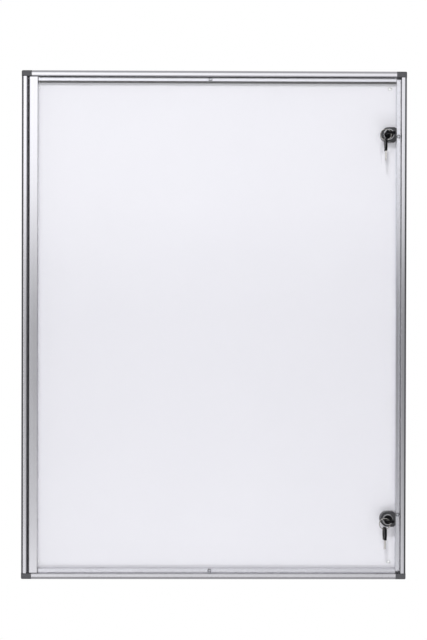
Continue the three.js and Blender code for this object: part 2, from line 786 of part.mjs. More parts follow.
// The bolt is a yoke plate: the eccentric pin runs up and down in its window and carries it sideways.
function boltGeometry() {
  const windowX = -boltThrow / 2;
  const windowHalfWidth = drivePinRadius + yokeGap;
  const windowBottom = boltThrow / 2 - drivePinRadius - yokeGap;
  const windowTop = drivePinOffset + drivePinRadius + yokeGap;
  const shape = new THREE.Shape();
  shape.moveTo(boltLeftEnd, -boltHalfHeight);
  shape.lineTo(boltShoulder, -boltHalfHeight);
  shape.lineTo(boltShoulder, -boltNoseHalfHeight);
  shape.lineTo(lockRightEdge, -boltNoseHalfHeight);
  shape.lineTo(lockRightEdge, boltNoseHalfHeight);
  shape.lineTo(boltShoulder, boltNoseHalfHeight);
  shape.lineTo(boltShoulder, boltHalfHeight);
  shape.lineTo(boltLeftEnd, boltHalfHeight);
  shape.closePath();
  const window = new THREE.Path();
  window.moveTo(windowX - windowHalfWidth, windowBottom);
  window.lineTo(windowX - windowHalfWidth, windowTop);
  window.lineTo(windowX + windowHalfWidth, windowTop);
  window.lineTo(windowX + windowHalfWidth, windowBottom);
  window.closePath();
  shape.holes.push(window);
  return plate(shape, boltRear, boltFront);
}

// Key blade in its own plane: the tip points down, the shoulder's top lies at height zero.
function bladeShape() {
  const shape = new THREE.Shape();
  const bottom = -shoulderLength - bladeLength;
  const cutTop = -shoulderLength;
  shape.moveTo(bladeHalfWidth - bladeTip, bottom);
  bladeCutShares.forEach((share, index) => {
    const start = bottom + bladeLength * (bladeCutStartShare + index * bladeCutPitchShare);
    const pitch = bladeLength * bladeCutPitchShare;
    const depth = bladeCutDepth * share;
    shape.lineTo(bladeHalfWidth, start);
    shape.lineTo(bladeHalfWidth - depth, start + pitch * bladeCutFlatShare);
    shape.lineTo(bladeHalfWidth - depth, start + pitch * (1 - bladeCutFlatShare));
  });
  shape.lineTo(bladeHalfWidth, cutTop - bladeLength * bladeCutStartShare / 2);
  shape.lineTo(bladeHalfWidth, cutTop);
  shape.lineTo(shoulderHalfWidth, cutTop);
  shape.lineTo(shoulderHalfWidth, 0);
  shape.lineTo(tangHalfWidth, 0);
  shape.lineTo(tangHalfWidth, tangLength);
  shape.lineTo(-tangHalfWidth, tangLength);
  shape.lineTo(-tangHalfWidth, 0);
  shape.lineTo(-shoulderHalfWidth, 0);
  shape.lineTo(-shoulderHalfWidth, cutTop);
  shape.lineTo(-bladeHalfWidth, cutTop);
  shape.lineTo(-bladeHalfWidth, bottom + bladeTip);
  shape.closePath();
  return shape;
}

function bowShape() {
  const waist = bowLength * bowWaistShare;
  const shape = new THREE.Shape();
  shape.moveTo(-bowRootHalfWidth, 0);
  shape.lineTo(bowRootHalfWidth, 0);
  shape.quadraticCurveTo(bowHalfWidth, waist - bowRootHalfWidth, bowHalfWidth, waist);
  shape.quadraticCurveTo(bowHalfWidth * bowCrownShare, bowLength, 0, bowLength);
  shape.quadraticCurveTo(-bowHalfWidth * bowCrownShare, bowLength, -bowHalfWidth, waist);
  shape.quadraticCurveTo(-bowHalfWidth, waist - bowRootHalfWidth, -bowRootHalfWidth, 0);
  shape.holes.push(circleHole(0, bowLength - bowHoleInset, bowHoleRadius));
  return shape;
}

// The key's own axes are X across the blade, Y from its tip to its bow and Z through its thickness.
function keyExtrusion(shape, thickness, options) {
  const geometry = new THREE.ExtrudeGeometry(shape, {
    depth: thickness,
    bevelEnabled: false,
    curveSegments: arcSteps,
    ...options,
  });
  return geometry.translate(0, 0, -thickness / 2);
}

function bowGeometry() {
  const bow = keyExtrusion(bowShape(), bowThickness - 2 * bowBevel, bevelOptions(bowBevel));
  const root = new THREE.BoxGeometry(2 * bowRootHalfWidth, bowRootLength, bowRootThickness)
    .translate(0, bowRootLength / 2, 0);
  const pocket = new THREE.BoxGeometry(
    2 * (tangHalfWidth + tangGap),
    tangLength + tangGap + cutOverrun,
    bladeThickness + 2 * tangGap,
  ).translate(0, (tangLength + tangGap - cutOverrun) / 2, 0);
  return cut(joined(bow, root), pocket);
}

function addKey(group, prefix) {
  addMesh(group, `${prefix}_blade`, keyExtrusion(bladeShape(), bladeThickness), materials.keyMetal);
  addMesh(group, `${prefix}_bow`, bowGeometry(), materials.keyPlastic);
}

// The split ring is a wire of two turns round an axis along Y.
class RingCurve extends THREE.Curve {
  getPoint(share) {
    const angle = ringStartAngle + share * ringTurns * fullTurn;
    const x = ringMeanRadius * Math.cos(angle);
    const z = ringMeanRadius * Math.sin(angle);
    return new THREE.Vector3(x, ringPitch * ringTurns * (share - 1 / 2), z);
  }
}

// The least clear distance between neighbouring turns of the wire, measured on its points.
function leastRingGap(curve) {
  const count = ringTurns * ringStepsPerTurn;
  const points = curve.getPoints(count);
  let least = Infinity;
  for (let first = 0; first <= count; first++) {
    for (let second = first + ringStepsPerTurn / 2; second <= count; second++) {
      least = Math.min(least, points[first].distanceTo(points[second]) - 2 * ringWireRadius);
    }
  }
  return least;
}

function ringGeometry() {
  const section = new THREE.Shape();
  for (let corner = 0; corner < ringSides; corner++) {
    const angle = (corner * fullTurn) / ringSides;
    const x = ringWireRadius * Math.cos(angle);
    const y = ringWireRadius * Math.sin(angle);
    if (corner === 0) section.moveTo(x, y);
    else section.lineTo(x, y);
  }
  section.closePath();
  const wire = new THREE.ExtrudeGeometry(section, {
    extrudePath: new RingCurve(),
    steps: ringTurns * ringStepsPerTurn,
    bevelEnabled: false,
  });
  return geometryOf(solidOf(wire));
}

// One lock with its key, split ring and spare key, round the lock's own axis.
function buildLock(name, z, spareTwist) {
  const lock = new THREE.Group();
  lock.position.set(lockX, 0, z);
  addMesh(lock, `${name}_lock_plate`, lockPlateGeometry(), materials.lockPlastic);
  addMesh(lock, `${name}_lock_cylinder`, cylinderGeometry(), materials.chrome);
  addMesh(lock, `${name}_lock_plug`, plugGeometry(), materials.blackFace);
  addMesh(lock, `${name}_lock_nut`, nutGeometry(), materials.zinc);
  addMesh(lock, `${name}_lock_case`, lockCaseGeometry(), materials.lockPlastic);
  addMesh(lock, `${name}_lock_cover`, lockCoverGeometry(), materials.lockPlastic);
  addMesh(lock, `${name}_lock_bolt`, boltGeometry(), materials.zinc);

  const key = new THREE.Group();
  key.rotation.x = -halfTurn;
  key.position.y = -bowRear;
  addKey(key, `${name}_key`);
  lock.add(key);

  const holeFront = bowRear + bowLength - bowHoleInset;
  const ring = new THREE.Group();
  ring.position.set(
    -ringMeanRadius * Math.cos(ringHangAngle),
    -holeFront,
    -ringMeanRadius * Math.sin(ringHangAngle),
  );
  addMesh(ring, `${name}_ring`, ringGeometry(), materials.keyMetal);
  lock.add(ring);

  const spare = new THREE.Group();
  spare.rotation.set(quarterTurn, 0, quarterTurn + spareTwist, "ZXY");
  spare.position.z = -ringMeanRadius - ringDrop - (bowLength - bowHoleInset);
  addKey(spare, `${name}_spare_key`);
  ring.add(spare);
  return lock;
}

const board = new THREE.Group();
const frame = new THREE.Group();
const door = new THREE.Group();
board.add(frame, door);
buildRails(frame);
buildCorners(frame);
buildBackPanel(frame);
buildBumpers(frame);
buildHinge(frame, door);
buildPane(door);
door.add(buildLock("upper", upperLockZ, 0), buildLock("lower", lowerLockZ, lowerKeyTwist));
console.log(`least gap of a split ring to itself: ${leastRingGap(new RingCurve()).toFixed(2)} mm`);

export default board;
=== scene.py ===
import json
import math

import bmesh
import bpy
from mathutils import Matrix, Vector


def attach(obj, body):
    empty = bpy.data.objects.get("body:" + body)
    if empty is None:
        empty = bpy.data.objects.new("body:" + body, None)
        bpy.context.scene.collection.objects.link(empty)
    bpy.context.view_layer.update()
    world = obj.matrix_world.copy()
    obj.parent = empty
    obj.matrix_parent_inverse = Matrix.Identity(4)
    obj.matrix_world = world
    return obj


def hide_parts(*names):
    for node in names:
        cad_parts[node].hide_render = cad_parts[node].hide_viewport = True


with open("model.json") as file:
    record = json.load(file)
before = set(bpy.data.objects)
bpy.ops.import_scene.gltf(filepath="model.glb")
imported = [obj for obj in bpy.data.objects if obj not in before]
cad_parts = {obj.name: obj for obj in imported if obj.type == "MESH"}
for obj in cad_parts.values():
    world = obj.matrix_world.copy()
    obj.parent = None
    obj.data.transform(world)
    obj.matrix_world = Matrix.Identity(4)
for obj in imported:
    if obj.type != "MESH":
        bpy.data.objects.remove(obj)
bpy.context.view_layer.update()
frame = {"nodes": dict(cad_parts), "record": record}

cadNodes = frame["nodes"]
bodyOf = {node: body for body, members in frame["record"]["behaviour"]["bodies"].items() for node in members}
mm = 0.001
print("frame loaded:", len(cadNodes), "nodes")


def linkObject(name, data):
    item = bpy.data.objects.new(name, data)
    bpy.context.scene.collection.objects.link(item)
    return item


# Camera, at the photograph's angle of view
cameraSet = {
    "place": (-0.0196, -2.43, 0.0217),
    "yaw": -0.440,  # degrees, as pitch and roll
    "pitch": -0.273,
    "roll": 0.139,
    "lens": 69.458,  # on a sensor 36 mm along its long side
    "clip": (0.05, 100),
}


def makeCamera(settings):
    data = bpy.data.cameras.new("camera")
    data.lens = settings["lens"]
    data.clip_start, data.clip_end = settings["clip"]
    camera = linkObject("camera", data)
    turn = Matrix.Rotation(math.radians(settings["yaw"]), 4, "Z")
    turn = turn @ Matrix.Rotation(math.radians(90 + settings["pitch"]), 4, "X")
    turn = turn @ Matrix.Rotation(math.radians(settings["roll"]), 4, "Z")
    camera.matrix_world = Matrix.Translation(settings["place"]) @ turn
    bpy.context.scene.camera = camera


makeCamera(cameraSet)


# Shader helpers: a node with its inputs set or linked, and a group with named sockets
def addNode(tree, kind, inputs=None, **settings):
    node = tree.nodes.new(kind)
    for name, value in settings.items():
        setattr(node, name, value)
    for name, value in (inputs or {}).items():
        if isinstance(value, bpy.types.NodeSocket):
            tree.links.new(value, node.inputs[name])
        else:
            node.inputs[name].default_value = value
    return node


def mathNode(tree, operation, *values, clamp=False):
    node = addNode(tree, "ShaderNodeMath", dict(enumerate(values)), operation=operation, use_clamp=clamp)
    return node.outputs[0]


def vectorMath(tree, operation, *values):
    return addNode(tree, "ShaderNodeVectorMath", dict(enumerate(values)), operation=operation).outputs


def objectPlace(tree):
    return addNode(tree, "ShaderNodeTexCoord").outputs["Object"]


def mixColour(tree, factor, first, second):
    return addNode(tree, "ShaderNodeMix", {0: factor, 6: first, 7: second}, data_type="RGBA").outputs[2]


def mapRange(tree, value, given, wanted=(0.0, 1.0), kind="LINEAR"):
    node = addNode(tree, "ShaderNodeMapRange", {
        "Value": value, "From Min": given[0], "From Max": given[1], "To Min": wanted[0], "To Max": wanted[1],
    }, interpolation_type=kind)
    return node.outputs[0]


def spread(tree, value, wanted):
    return mapRange(tree, value, (0.0, 1.0), wanted)


def startGroup(name, inputs, outputs):
    tree = bpy.data.node_groups.new(name, "ShaderNodeTree")
    for socketName, value in inputs.items():
        kind = "NodeSocketVector" if isinstance(value, tuple) else "NodeSocketFloat"
        socket = tree.interface.new_socket(socketName, in_out="INPUT", socket_type=kind)
        socket.default_value = value
    for socketName in outputs:
        tree.interface.new_socket(socketName, in_out="OUTPUT", socket_type="NodeSocketFloat")
    return tree, tree.nodes.new("NodeGroupInput"), tree.nodes.new("NodeGroupOutput")


# Fine lines along one direction, as on an extrusion or a ground face: Stretch is small along the lines
grainSet = {
    "inputs": {"Stretch": (1.0, 1.0, 1.0), "Scale": 400.0, "Detail": 3.0},
    "fineRoughness": 0.6,
    "fineShare": 0.6,
    "wideScale": 0.13,
    "wideDetail": 1.0,
    "wideShare": 0.4,
}


def makeGrainGroup(settings):
    tree, given, result = startGroup("grain", settings["inputs"], ["Value", "Height"])
    along = vectorMath(tree, "MULTIPLY", objectPlace(tree), given.outputs["Stretch"])[0]
    fine = addNode(tree, "ShaderNodeTexNoise", {
        "Vector": along,
        "Scale": given.outputs["Scale"],
        "Detail": given.outputs["Detail"],
        "Roughness": settings["fineRoughness"],
    }).outputs[0]
    wide = addNode(tree, "ShaderNodeTexNoise", {
        "Vector": along,
        "Scale": mathNode(tree, "MULTIPLY", given.outputs["Scale"], settings["wideScale"]),
        "Detail": settings["wideDetail"],
    }).outputs[0]
    coarse = mathNode(tree, "MULTIPLY", wide, settings["wideShare"])
    both = mathNode(tree, "MULTIPLY_ADD", fine, settings["fineShare"], coarse)
    tree.links.new(both, result.inputs["Value"])
    tree.links.new(fine, result.inputs["Height"])
    return tree


# Outer edges where handling has rubbed the finish
wearSet = {
    "inputs": {"Radius": 0.0008, "Amount": 0.5, "Scale": 90.0},
    "samples": 4,
    "gain": 9.0,
    "detail": 3.0,
    "patches": (-0.6, 1.8),
}


def makeWearGroup(settings):
    tree, given, result = startGroup("edgeWear", settings["inputs"], ["Mask"])
    rounded = addNode(tree, "ShaderNodeBevel", {
        "Radius": given.outputs["Radius"],
    }, samples=settings["samples"]).outputs[0]
    flat = addNode(tree, "ShaderNodeNewGeometry").outputs["Normal"]
    same = vectorMath(tree, "DOT_PRODUCT", rounded, flat)["Value"]
    edge = mathNode(tree, "SUBTRACT", 1.0, same, clamp=True)
    patches = addNode(tree, "ShaderNodeTexNoise", {
        "Vector": objectPlace(tree), "Scale": given.outputs["Scale"], "Detail": settings["detail"],
    }).outputs[0]
    broken = spread(tree, patches, settings["patches"])
    mask = mathNode(tree, "MULTIPLY", mathNode(tree, "MULTIPLY", edge, settings["gain"]), broken, clamp=True)
    rubbed = mathNode(tree, "MULTIPLY", mask, given.outputs["Amount"], clamp=True)
    tree.links.new(rubbed, result.inputs["Mask"])
    return tree


# Dust and finger marks: a soft film that dulls a glossy face, and small specks in it
dustSet = {
    "inputs": {"Scale": 9.0, "Specks": 700.0},
    "detail": 5.0,
    "roughness": 0.65,
    "distortion": 0.4,
    "speckSize": 0.09,
}


def makeDustGroup(settings):
    tree, given, result = startGroup("dust", settings["inputs"], ["Film", "Specks"])
    place = objectPlace(tree)
    film = addNode(tree, "ShaderNodeTexNoise", {
        "Vector": place,
        "Scale": given.outputs["Scale"],
        "Detail": settings["detail"],
        "Roughness": settings["roughness"],
        "Distortion": settings["distortion"],
    }).outputs[0]
    cells = addNode(tree, "ShaderNodeTexVoronoi", {"Vector": place, "Scale": given.outputs["Specks"]})
    small = mathNode(tree, "LESS_THAN", cells.outputs["Distance"], settings["speckSize"])
    tree.links.new(film, result.inputs["Film"])
    tree.links.new(mathNode(tree, "MULTIPLY", small, film), result.inputs["Specks"])
    return tree


grainGroup = makeGrainGroup(grainSet)
wearGroup = makeWearGroup(wearSet)
dustGroup = makeDustGroup(dustSet)


def startMaterial(name, values):
    material = bpy.data.materials.new(name)
    material.use_nodes = True
    tree = material.node_tree
    tree.nodes.clear()
    output = tree.nodes.new("ShaderNodeOutputMaterial")
    shader = addNode(tree, "ShaderNodeBsdfPrincipled", values)
    tree.links.new(shader.outputs[0], output.inputs["Surface"])
    return material, tree, shader


def mixOutput(tree, factor, first, second):
    output = next(node for node in tree.nodes if node.type.startswith("OUTPUT"))
    mixed = addNode(tree, "ShaderNodeMixShader", {0: factor, 1: first.outputs[0], 2: second.outputs[0]})
    tree.links.new(mixed.outputs[0], output.inputs["Surface"])


def useGroup(tree, group, **values):
    node = tree.nodes.new("ShaderNodeGroup")
    node.node_tree = group
    for name, value in values.items():
        node.inputs[name].default_value = value
    return node.outputs


def bump(tree, shader, height, strength, distance):
    node = addNode(tree, "ShaderNodeBump", {"Height": height, "Strength": strength, "Distance": distance})
    tree.links.new(node.outputs[0], shader.inputs["Normal"])


# Aluminium with a satin anodised skin: die lines run along the extrusion
aluminiumSet = {
    "colour": (0.785, 0.78, 0.825, 1),
    "darkLine": (0.72, 0.715, 0.76, 1),
    "worn": (0.90, 0.90, 0.92, 1),
    "roughness": (0.10, 0.18),
    "lines": {"Scale": 900.0, "Detail": 3.0},
    "upright": (1, 1, 0.0012),
    "cross": (0.0012, 1, 1),
    "wear": {"Radius": 0.0007, "Amount": 0.45, "Scale": 60.0},
    "dust": {"Scale": 7.0, "Specks": 900.0},
    "haze": 0.06,
    "relief": (0.5, 0.00001),  # strength, and height in metres
}


def makeAluminium(name, stretch, settings=aluminiumSet):
    material, tree, shader = startMaterial(name, {"Metallic": 1.0})
    grain = useGroup(tree, grainGroup, Stretch=stretch, **settings["lines"])
    wear = useGroup(tree, wearGroup, **settings["wear"])
    dust = useGroup(tree, dustGroup, **settings["dust"])
    lined = mixColour(tree, grain["Value"], settings["darkLine"], settings["colour"])
    rubbed = mixColour(tree, wear["Mask"], lined, settings["worn"])
    tree.links.new(rubbed, shader.inputs["Base Color"])
    satin = spread(tree, grain["Value"], settings["roughness"])
    hazed = mathNode(tree, "MULTIPLY_ADD", dust["Film"], settings["haze"], satin)
    tree.links.new(hazed, shader.inputs["Roughness"])
    bump(tree, shader, grain["Height"], *settings["relief"])
    return material


# Moulded plastics: a fine spark texture, edges rubbed a little paler, dust in it
plasticSets = {
    "cornerPlastic": {
        "colour": (0.070, 0.070, 0.076, 1), "rubbed": (0.16, 0.16, 0.17, 1), "roughness": (0.38, 0.55),
    },
    "lockPlastic": {
        "colour": (0.040, 0.040, 0.044, 1), "rubbed": (0.12, 0.12, 0.125, 1), "roughness": (0.32, 0.46),
    },
    "keyPlastic": {
        "colour": (0.005, 0.005, 0.006, 1), "rubbed": (0.02, 0.02, 0.022, 1), "roughness": (0.34, 0.46),
        "gloss": 0.10,
    },
    "plugBlack": {
        "colour": (0.006, 0.006, 0.007, 1), "rubbed": (0.10, 0.10, 0.10, 1), "roughness": (0.32, 0.44),
        "gloss": 0.08,
    },
    "whiteNylon": {
        "colour": (0.60, 0.60, 0.62, 1), "rubbed": (0.72, 0.72, 0.74, 1), "roughness": (0.40, 0.55),
    },
    # Black rubber of the strips that paint shade into the gaps at the top
    "shadeStripRubber": {
        "colour": (0.012, 0.012, 0.013, 1), "rubbed": (0.04, 0.04, 0.04, 1), "roughness": (0.55, 0.75),
    },
    # Black brush pile: real, and also standing in for the shade in the hinge gap
    "brushPile": {
        "colour": (0.040, 0.040, 0.043, 1), "rubbed": (0.09, 0.09, 0.09, 1), "roughness": (0.70, 0.90),
    },
    "washerNylon": {
        "colour": (0.030, 0.030, 0.032, 1), "rubbed": (0.08, 0.08, 0.08, 1), "roughness": (0.45, 0.60),
    },
}
mouldedSet = {
    "gloss": 0.5,
    "ior": 1.5,
    "texture": {"Stretch": (1, 1, 1), "Scale": 1800.0, "Detail": 2.0},
    "wear": {"Radius": 0.0006, "Amount": 0.7, "Scale": 120.0},
    "dust": {"Scale": 40.0, "Specks": 1500.0},
    "paler": 1.35,
    "speck": (0.45, 0.44, 0.43, 1),
    "speckShare": 0.35,
    "relief": (0.6, 0.00004),
}


def makePlastic(name, settings, moulded=mouldedSet):
    values = {"IOR": moulded["ior"], "Specular IOR Level": settings.get("gloss", moulded["gloss"])}
    material, tree, shader = startMaterial(name, values)
    grain = useGroup(tree, grainGroup, **moulded["texture"])
    wear = useGroup(tree, wearGroup, **moulded["wear"])
    dust = useGroup(tree, dustGroup, **moulded["dust"])
    paler = tuple(moulded["paler"] * value for value in settings["colour"][:3]) + (1,)
    mottled = mixColour(tree, grain["Value"], settings["colour"], paler)
    rubbed = mixColour(tree, wear["Mask"], mottled, settings["rubbed"])
    specks = mathNode(tree, "MULTIPLY", dust["Specks"], moulded["speckShare"])
    tree.links.new(mixColour(tree, specks, rubbed, moulded["speck"]), shader.inputs["Base Color"])
    tree.links.new(spread(tree, dust["Film"], settings["roughness"]), shader.inputs["Roughness"])
    bump(tree, shader, grain["Height"], *moulded["relief"])
    return material


# White enamelled steel of the display panel, with the slight orange peel of a baked coat
enamelSet = {
    "colour": (0.835, 0.826, 0.864, 1),
    "shade": (0.805, 0.797, 0.838, 1),
    "roughness": (0.30, 0.42),
    "coat": {"IOR": 1.5, "Coat Weight": 0.25, "Coat Roughness": 0.12},
    "peel": {"Stretch": (1, 1, 1), "Scale": 260.0, "Detail": 1.0},
    "dust": {"Scale": 3.0, "Specks": 420.0},
    "speck": (0.42, 0.41, 0.42, 1),
    "speckShare": 0.10,
    "relief": (0.35, 0.00005),
}


def makeEnamel(settings=enamelSet):
    material, tree, shader = startMaterial("whiteEnamel", settings["coat"])
    peel = useGroup(tree, grainGroup, **settings["peel"])
    dust = useGroup(tree, dustGroup, **settings["dust"])
    clouded = mixColour(tree, dust["Film"], settings["colour"], settings["shade"])
    specks = mathNode(tree, "MULTIPLY", dust["Specks"], settings["speckShare"])
    tree.links.new(mixColour(tree, specks, clouded, settings["speck"]), shader.inputs["Base Color"])
    tree.links.new(spread(tree, dust["Film"], settings["roughness"]), shader.inputs["Roughness"])
    bump(tree, shader, peel["Height"], *settings["relief"])
    return material


# Wood fibre board between the panel's two sheets
coreBoardSet = {
    "dark": (0.26, 0.16, 0.09, 1),
    "pale": (0.50, 0.36, 0.23, 1),
    "roughness": (0.75, 0.95),
    "ior": 1.45,
    "fibres": {"Stretch": (1, 3, 1), "Scale": 350.0, "Detail": 5.0},
    "dust": {"Scale": 30.0, "Specks": 900.0},
    "relief": (0.8, 0.0002),
}


def makeCoreBoard(settings=coreBoardSet):
    material, tree, shader = startMaterial("coreBoard", {"IOR": settings["ior"]})
    fibres = useGroup(tree, grainGroup, **settings["fibres"])
    dust = useGroup(tree, dustGroup, **settings["dust"])
    brown = mixColour(tree, fibres["Value"], settings["dark"], settings["pale"])
    tree.links.new(brown, shader.inputs["Base Color"])
    tree.links.new(spread(tree, dust["Film"], settings["roughness"]), shader.inputs["Roughness"])
    bump(tree, shader, fibres["Height"], *settings["relief"])
    return material


# Galvanised steel: crystals of zinc that each lie another way
galvanisedSet = {
    "dark": (0.42, 0.435, 0.45, 1),
    "pale": (0.66, 0.675, 0.69, 1),
    "dull": (0.52, 0.53, 0.54, 1),
    "dullShare": 0.4,
    "roughness": (0.36, 0.58),
    "crystals": {"Scale": 95.0, "Randomness": 1.0},
    "grain": {"Stretch": (1, 1, 0.05), "Scale": 500.0, "Detail": 2.0},
    "dust": {"Scale": 6.0, "Specks": 600.0},
    "relief": (0.3, 0.00005),
}


def makeGalvanised(settings=galvanisedSet):
    material, tree, shader = startMaterial("galvanisedSteel", {"Metallic": 1.0})
    crystals = addNode(tree, "ShaderNodeTexVoronoi", {"Vector": objectPlace(tree), **settings["crystals"]})
    shade = addNode(tree, "ShaderNodeRGBToBW", {"Color": crystals.outputs["Color"]}).outputs[0]
    dust = useGroup(tree, dustGroup, **settings["dust"])
    grain = useGroup(tree, grainGroup, **settings["grain"])
    zinc = mixColour(tree, shade, settings["dark"], settings["pale"])
    film = mathNode(tree, "MULTIPLY", dust["Film"], settings["dullShare"])
    tree.links.new(mixColour(tree, film, zinc, settings["dull"]), shader.inputs["Base Color"])
    tree.links.new(spread(tree, shade, settings["roughness"]), shader.inputs["Roughness"])
    bump(tree, shader, grain["Height"], *settings["relief"])
    return material


# Small metal parts: plated, turned, cast and milled
metalSets = {
    "lockChrome": {
        "colour": (0.68, 0.68, 0.70, 1), "dark": (0.54, 0.54, 0.56, 1), "roughness": (0.03, 0.08),
        "stretch": (1, 0.1, 1), "scale": 700.0, "height": 0.00001,
    },
    "pinSteel": {
        "colour": (0.62, 0.62, 0.64, 1), "dark": (0.50, 0.50, 0.52, 1), "roughness": (0.22, 0.36),
        "stretch": (1, 1, 8), "scale": 500.0, "height": 0.00003,
    },
    "castZinc": {
        "colour": (0.55, 0.56, 0.58, 1), "dark": (0.42, 0.43, 0.45, 1), "roughness": (0.40, 0.60),
        "stretch": (1, 1, 1), "scale": 900.0, "height": 0.00008,
    },
    "keyNickel": {
        "colour": (0.78, 0.76, 0.72, 1), "dark": (0.64, 0.62, 0.58, 1), "roughness": (0.18, 0.32),
        "stretch": (1, 1, 0.15), "scale": 1200.0, "height": 0.00002,
    },
}
smallMetal = {"detail": 3.0, "dust": {"Scale": 60.0, "Specks": 1200.0}, "strength": 0.4}


def makeMetal(name, settings, shared=smallMetal):
    material, tree, shader = startMaterial(name, {"Metallic": 1.0})
    lines = {"Stretch": settings["stretch"], "Scale": settings["scale"], "Detail": shared["detail"]}
    grain = useGroup(tree, grainGroup, **lines)
    dust = useGroup(tree, dustGroup, **shared["dust"])
    lined = mixColour(tree, grain["Value"], settings["dark"], settings["colour"])
    tree.links.new(lined, shader.inputs["Base Color"])
    tree.links.new(spread(tree, dust["Film"], settings["roughness"]), shader.inputs["Roughness"])
    bump(tree, shader, grain["Height"], shared["strength"], settings["height"])
    return material


# Clear plastics let lamps through as well as sight, so that what lies behind them is lit
clearSets = {
    "clearAcrylic": {"colour": (0.985, 0.99, 1.0, 1), "roughness": (0.0, 0.05), "ior": 1.49, "shadow": 0.97},
    # Painted shade on the bumper: its colour darkens to the rim colour towards the dome's grazing edge,
    # standing in for the dark ring of refraction
    "clearBumper": {
        "colour": (0.93, 0.935, 0.95, 1), "roughness": (0.06, 0.11), "ior": 1.42, "shadow": 0.70,
        "rim": (0.22, 0.22, 0.24, 1), "rimBlend": 0.5, "rimSlope": (0.10, 0.28),
    },
}
clearDust = {"Scale": 5.0, "Specks": 500.0}


def makeClear(name, settings):
    material, tree, shader = startMaterial(name, {
        "Base Color": settings["colour"],
        "Transmission Weight": 1.0,
        "Metallic": 0.0,
        "IOR": settings["ior"],
    })
    # Painted shade: where the face turns away from view the colour darkens towards the rim colour
    if "rim" in settings:
        facing = addNode(tree, "ShaderNodeLayerWeight", {"Blend": settings["rimBlend"]}).outputs["Facing"]
        rimShadeMask = mapRange(tree, facing, settings["rimSlope"])
        rimShaded = mixColour(tree, rimShadeMask, settings["colour"], settings["rim"])
        tree.links.new(rimShaded, shader.inputs["Base Color"])
    dust = useGroup(tree, dustGroup, **clearDust)
    tree.links.new(spread(tree, dust["Specks"], settings["roughness"]), shader.inputs["Roughness"])
    path = addNode(tree, "ShaderNodeLightPath").outputs
    through = mathNode(tree, "ADD", path["Is Shadow Ray"], path["Is Diffuse Ray"], clamp=True)
    level = settings["shadow"]
    clear = addNode(tree, "ShaderNodeBsdfTransparent", {"Color": (level, level, level, 1)})
    mixOutput(tree, through, shader, clear)
    return material


# Black foam tape that bonds the strip to the pane
tapeSet = {
    "dark": (0.02, 0.02, 0.021, 1),
    "pale": (0.06, 0.06, 0.063, 1),
    "roughness": (0.7, 0.95),
    "ior": 1.45,
    "foam": {"Stretch": (1, 1, 1), "Scale": 900.0, "Detail": 4.0},
    "relief": (0.7, 0.0001),
}


def makeTape(settings=tapeSet):
    material, tree, shader = startMaterial("bondingTape", {"IOR": settings["ior"]})
    foam = useGroup(tree, grainGroup, **settings["foam"])
    black = mixColour(tree, foam["Value"], settings["dark"], settings["pale"])
    tree.links.new(black, shader.inputs["Base Color"])
    tree.links.new(spread(tree, foam["Value"], settings["roughness"]), shader.inputs["Roughness"])
    bump(tree, shader, foam["Height"], *settings["relief"])
    return material


materials = {
    "uprightAluminium": makeAluminium("uprightAluminium", aluminiumSet["upright"]),
    "crossAluminium": makeAluminium("crossAluminium", aluminiumSet["cross"]),
    "whiteEnamel": makeEnamel(),
    "coreBoard": makeCoreBoard(),
    "galvanisedSteel": makeGalvanised(),
    "bondingTape": makeTape(),
}
for metalName, metalSet in metalSets.items():
    materials[metalName] = makeMetal(metalName, metalSet)
for plasticName, plasticSet in plasticSets.items():
    materials[plasticName] = makePlastic(plasticName, plasticSet)
for clearName, clearSet in clearSets.items():
    materials[clearName] = makeClear(clearName, clearSet)
print("materials made:", len(materials))

# Which finish each node has: (end of the node's name, material, slot in the record)
finishes = [
    ("rail_left", "uprightAluminium", "anodised_aluminium"),
    ("rail_right", "uprightAluminium", "anodised_aluminium"),
    ("rail_top", "crossAluminium", "anodised_aluminium"),
    ("rail_bottom", "crossAluminium", "anodised_aluminium"),
    ("hinge_strip", "uprightAluminium", "anodised_aluminium"),
    ("corner_top_left", "cornerPlastic", "corner_plastic"),
    ("corner_top_right", "cornerPlastic", "corner_plastic"),
    ("corner_bottom_left", "cornerPlastic", "corner_plastic"),
    ("corner_bottom_right", "cornerPlastic", "corner_plastic"),
    ("display_sheet", "whiteEnamel", "white_enamel"),
    ("core_board", "coreBoard", "core_board"),
    ("rear_sheet", "galvanisedSteel", "galvanised_steel"),
    ("bumper_top", "clearBumper", "clear_bumper"),
    ("bumper_bottom", "clearBumper", "clear_bumper"),
    ("bumper_upper_right", "clearBumper", "clear_bumper"),
    ("bumper_lower_right", "clearBumper", "clear_bumper"),
    ("hinge_washer_top", "washerNylon", "washer_nylon"),
    ("hinge_washer_bottom", "washerNylon", "washer_nylon"),
    ("hinge_pin_top", "pinSteel", "pin_steel"),
    ("hinge_pin_bottom", "pinSteel", "pin_steel"),
    ("door_pane", "clearAcrylic", "clear_acrylic"),
    ("pane_tape", "bondingTape", "bonding_tape"),
    ("lock_plate", "lockPlastic", "lock_plastic"),
    ("lock_case", "lockPlastic", "lock_plastic"),
    ("lock_cover", "lockPlastic", "lock_plastic"),
    ("lock_cylinder", "lockChrome", "lock_chrome"),
    ("lock_plug", "plugBlack", "plug_black"),
    ("lock_nut", "castZinc", "zinc_cast"),
    ("lock_bolt", "castZinc", "zinc_cast"),
    ("key_blade", "keyNickel", "key_nickel"),
    ("ring", "keyNickel", "key_nickel"),
    ("key_bow", "keyPlastic", "key_plastic"),
]


def finishOf(node):
    return next((material, slot) for ending, material, slot in finishes if node.endswith(ending))


for nodeName, nodeObject in cadNodes.items():
    materialName, slotName = finishOf(nodeName)
    nodeObject.data.materials.clear()
    nodeObject.data.materials.append(materials[materialName])

# A finished copy stands for a CAD node: its triangles are merged and its sharp edges broken
finishSet = {
    "merge": 0.002 * mm,
    "flat": 1.0,  # degrees, as the angles below
    "sharp": 40.0,
    "sharpTurned": 60.0,
    "smooth": 50.0,
    "segments": 2,
}


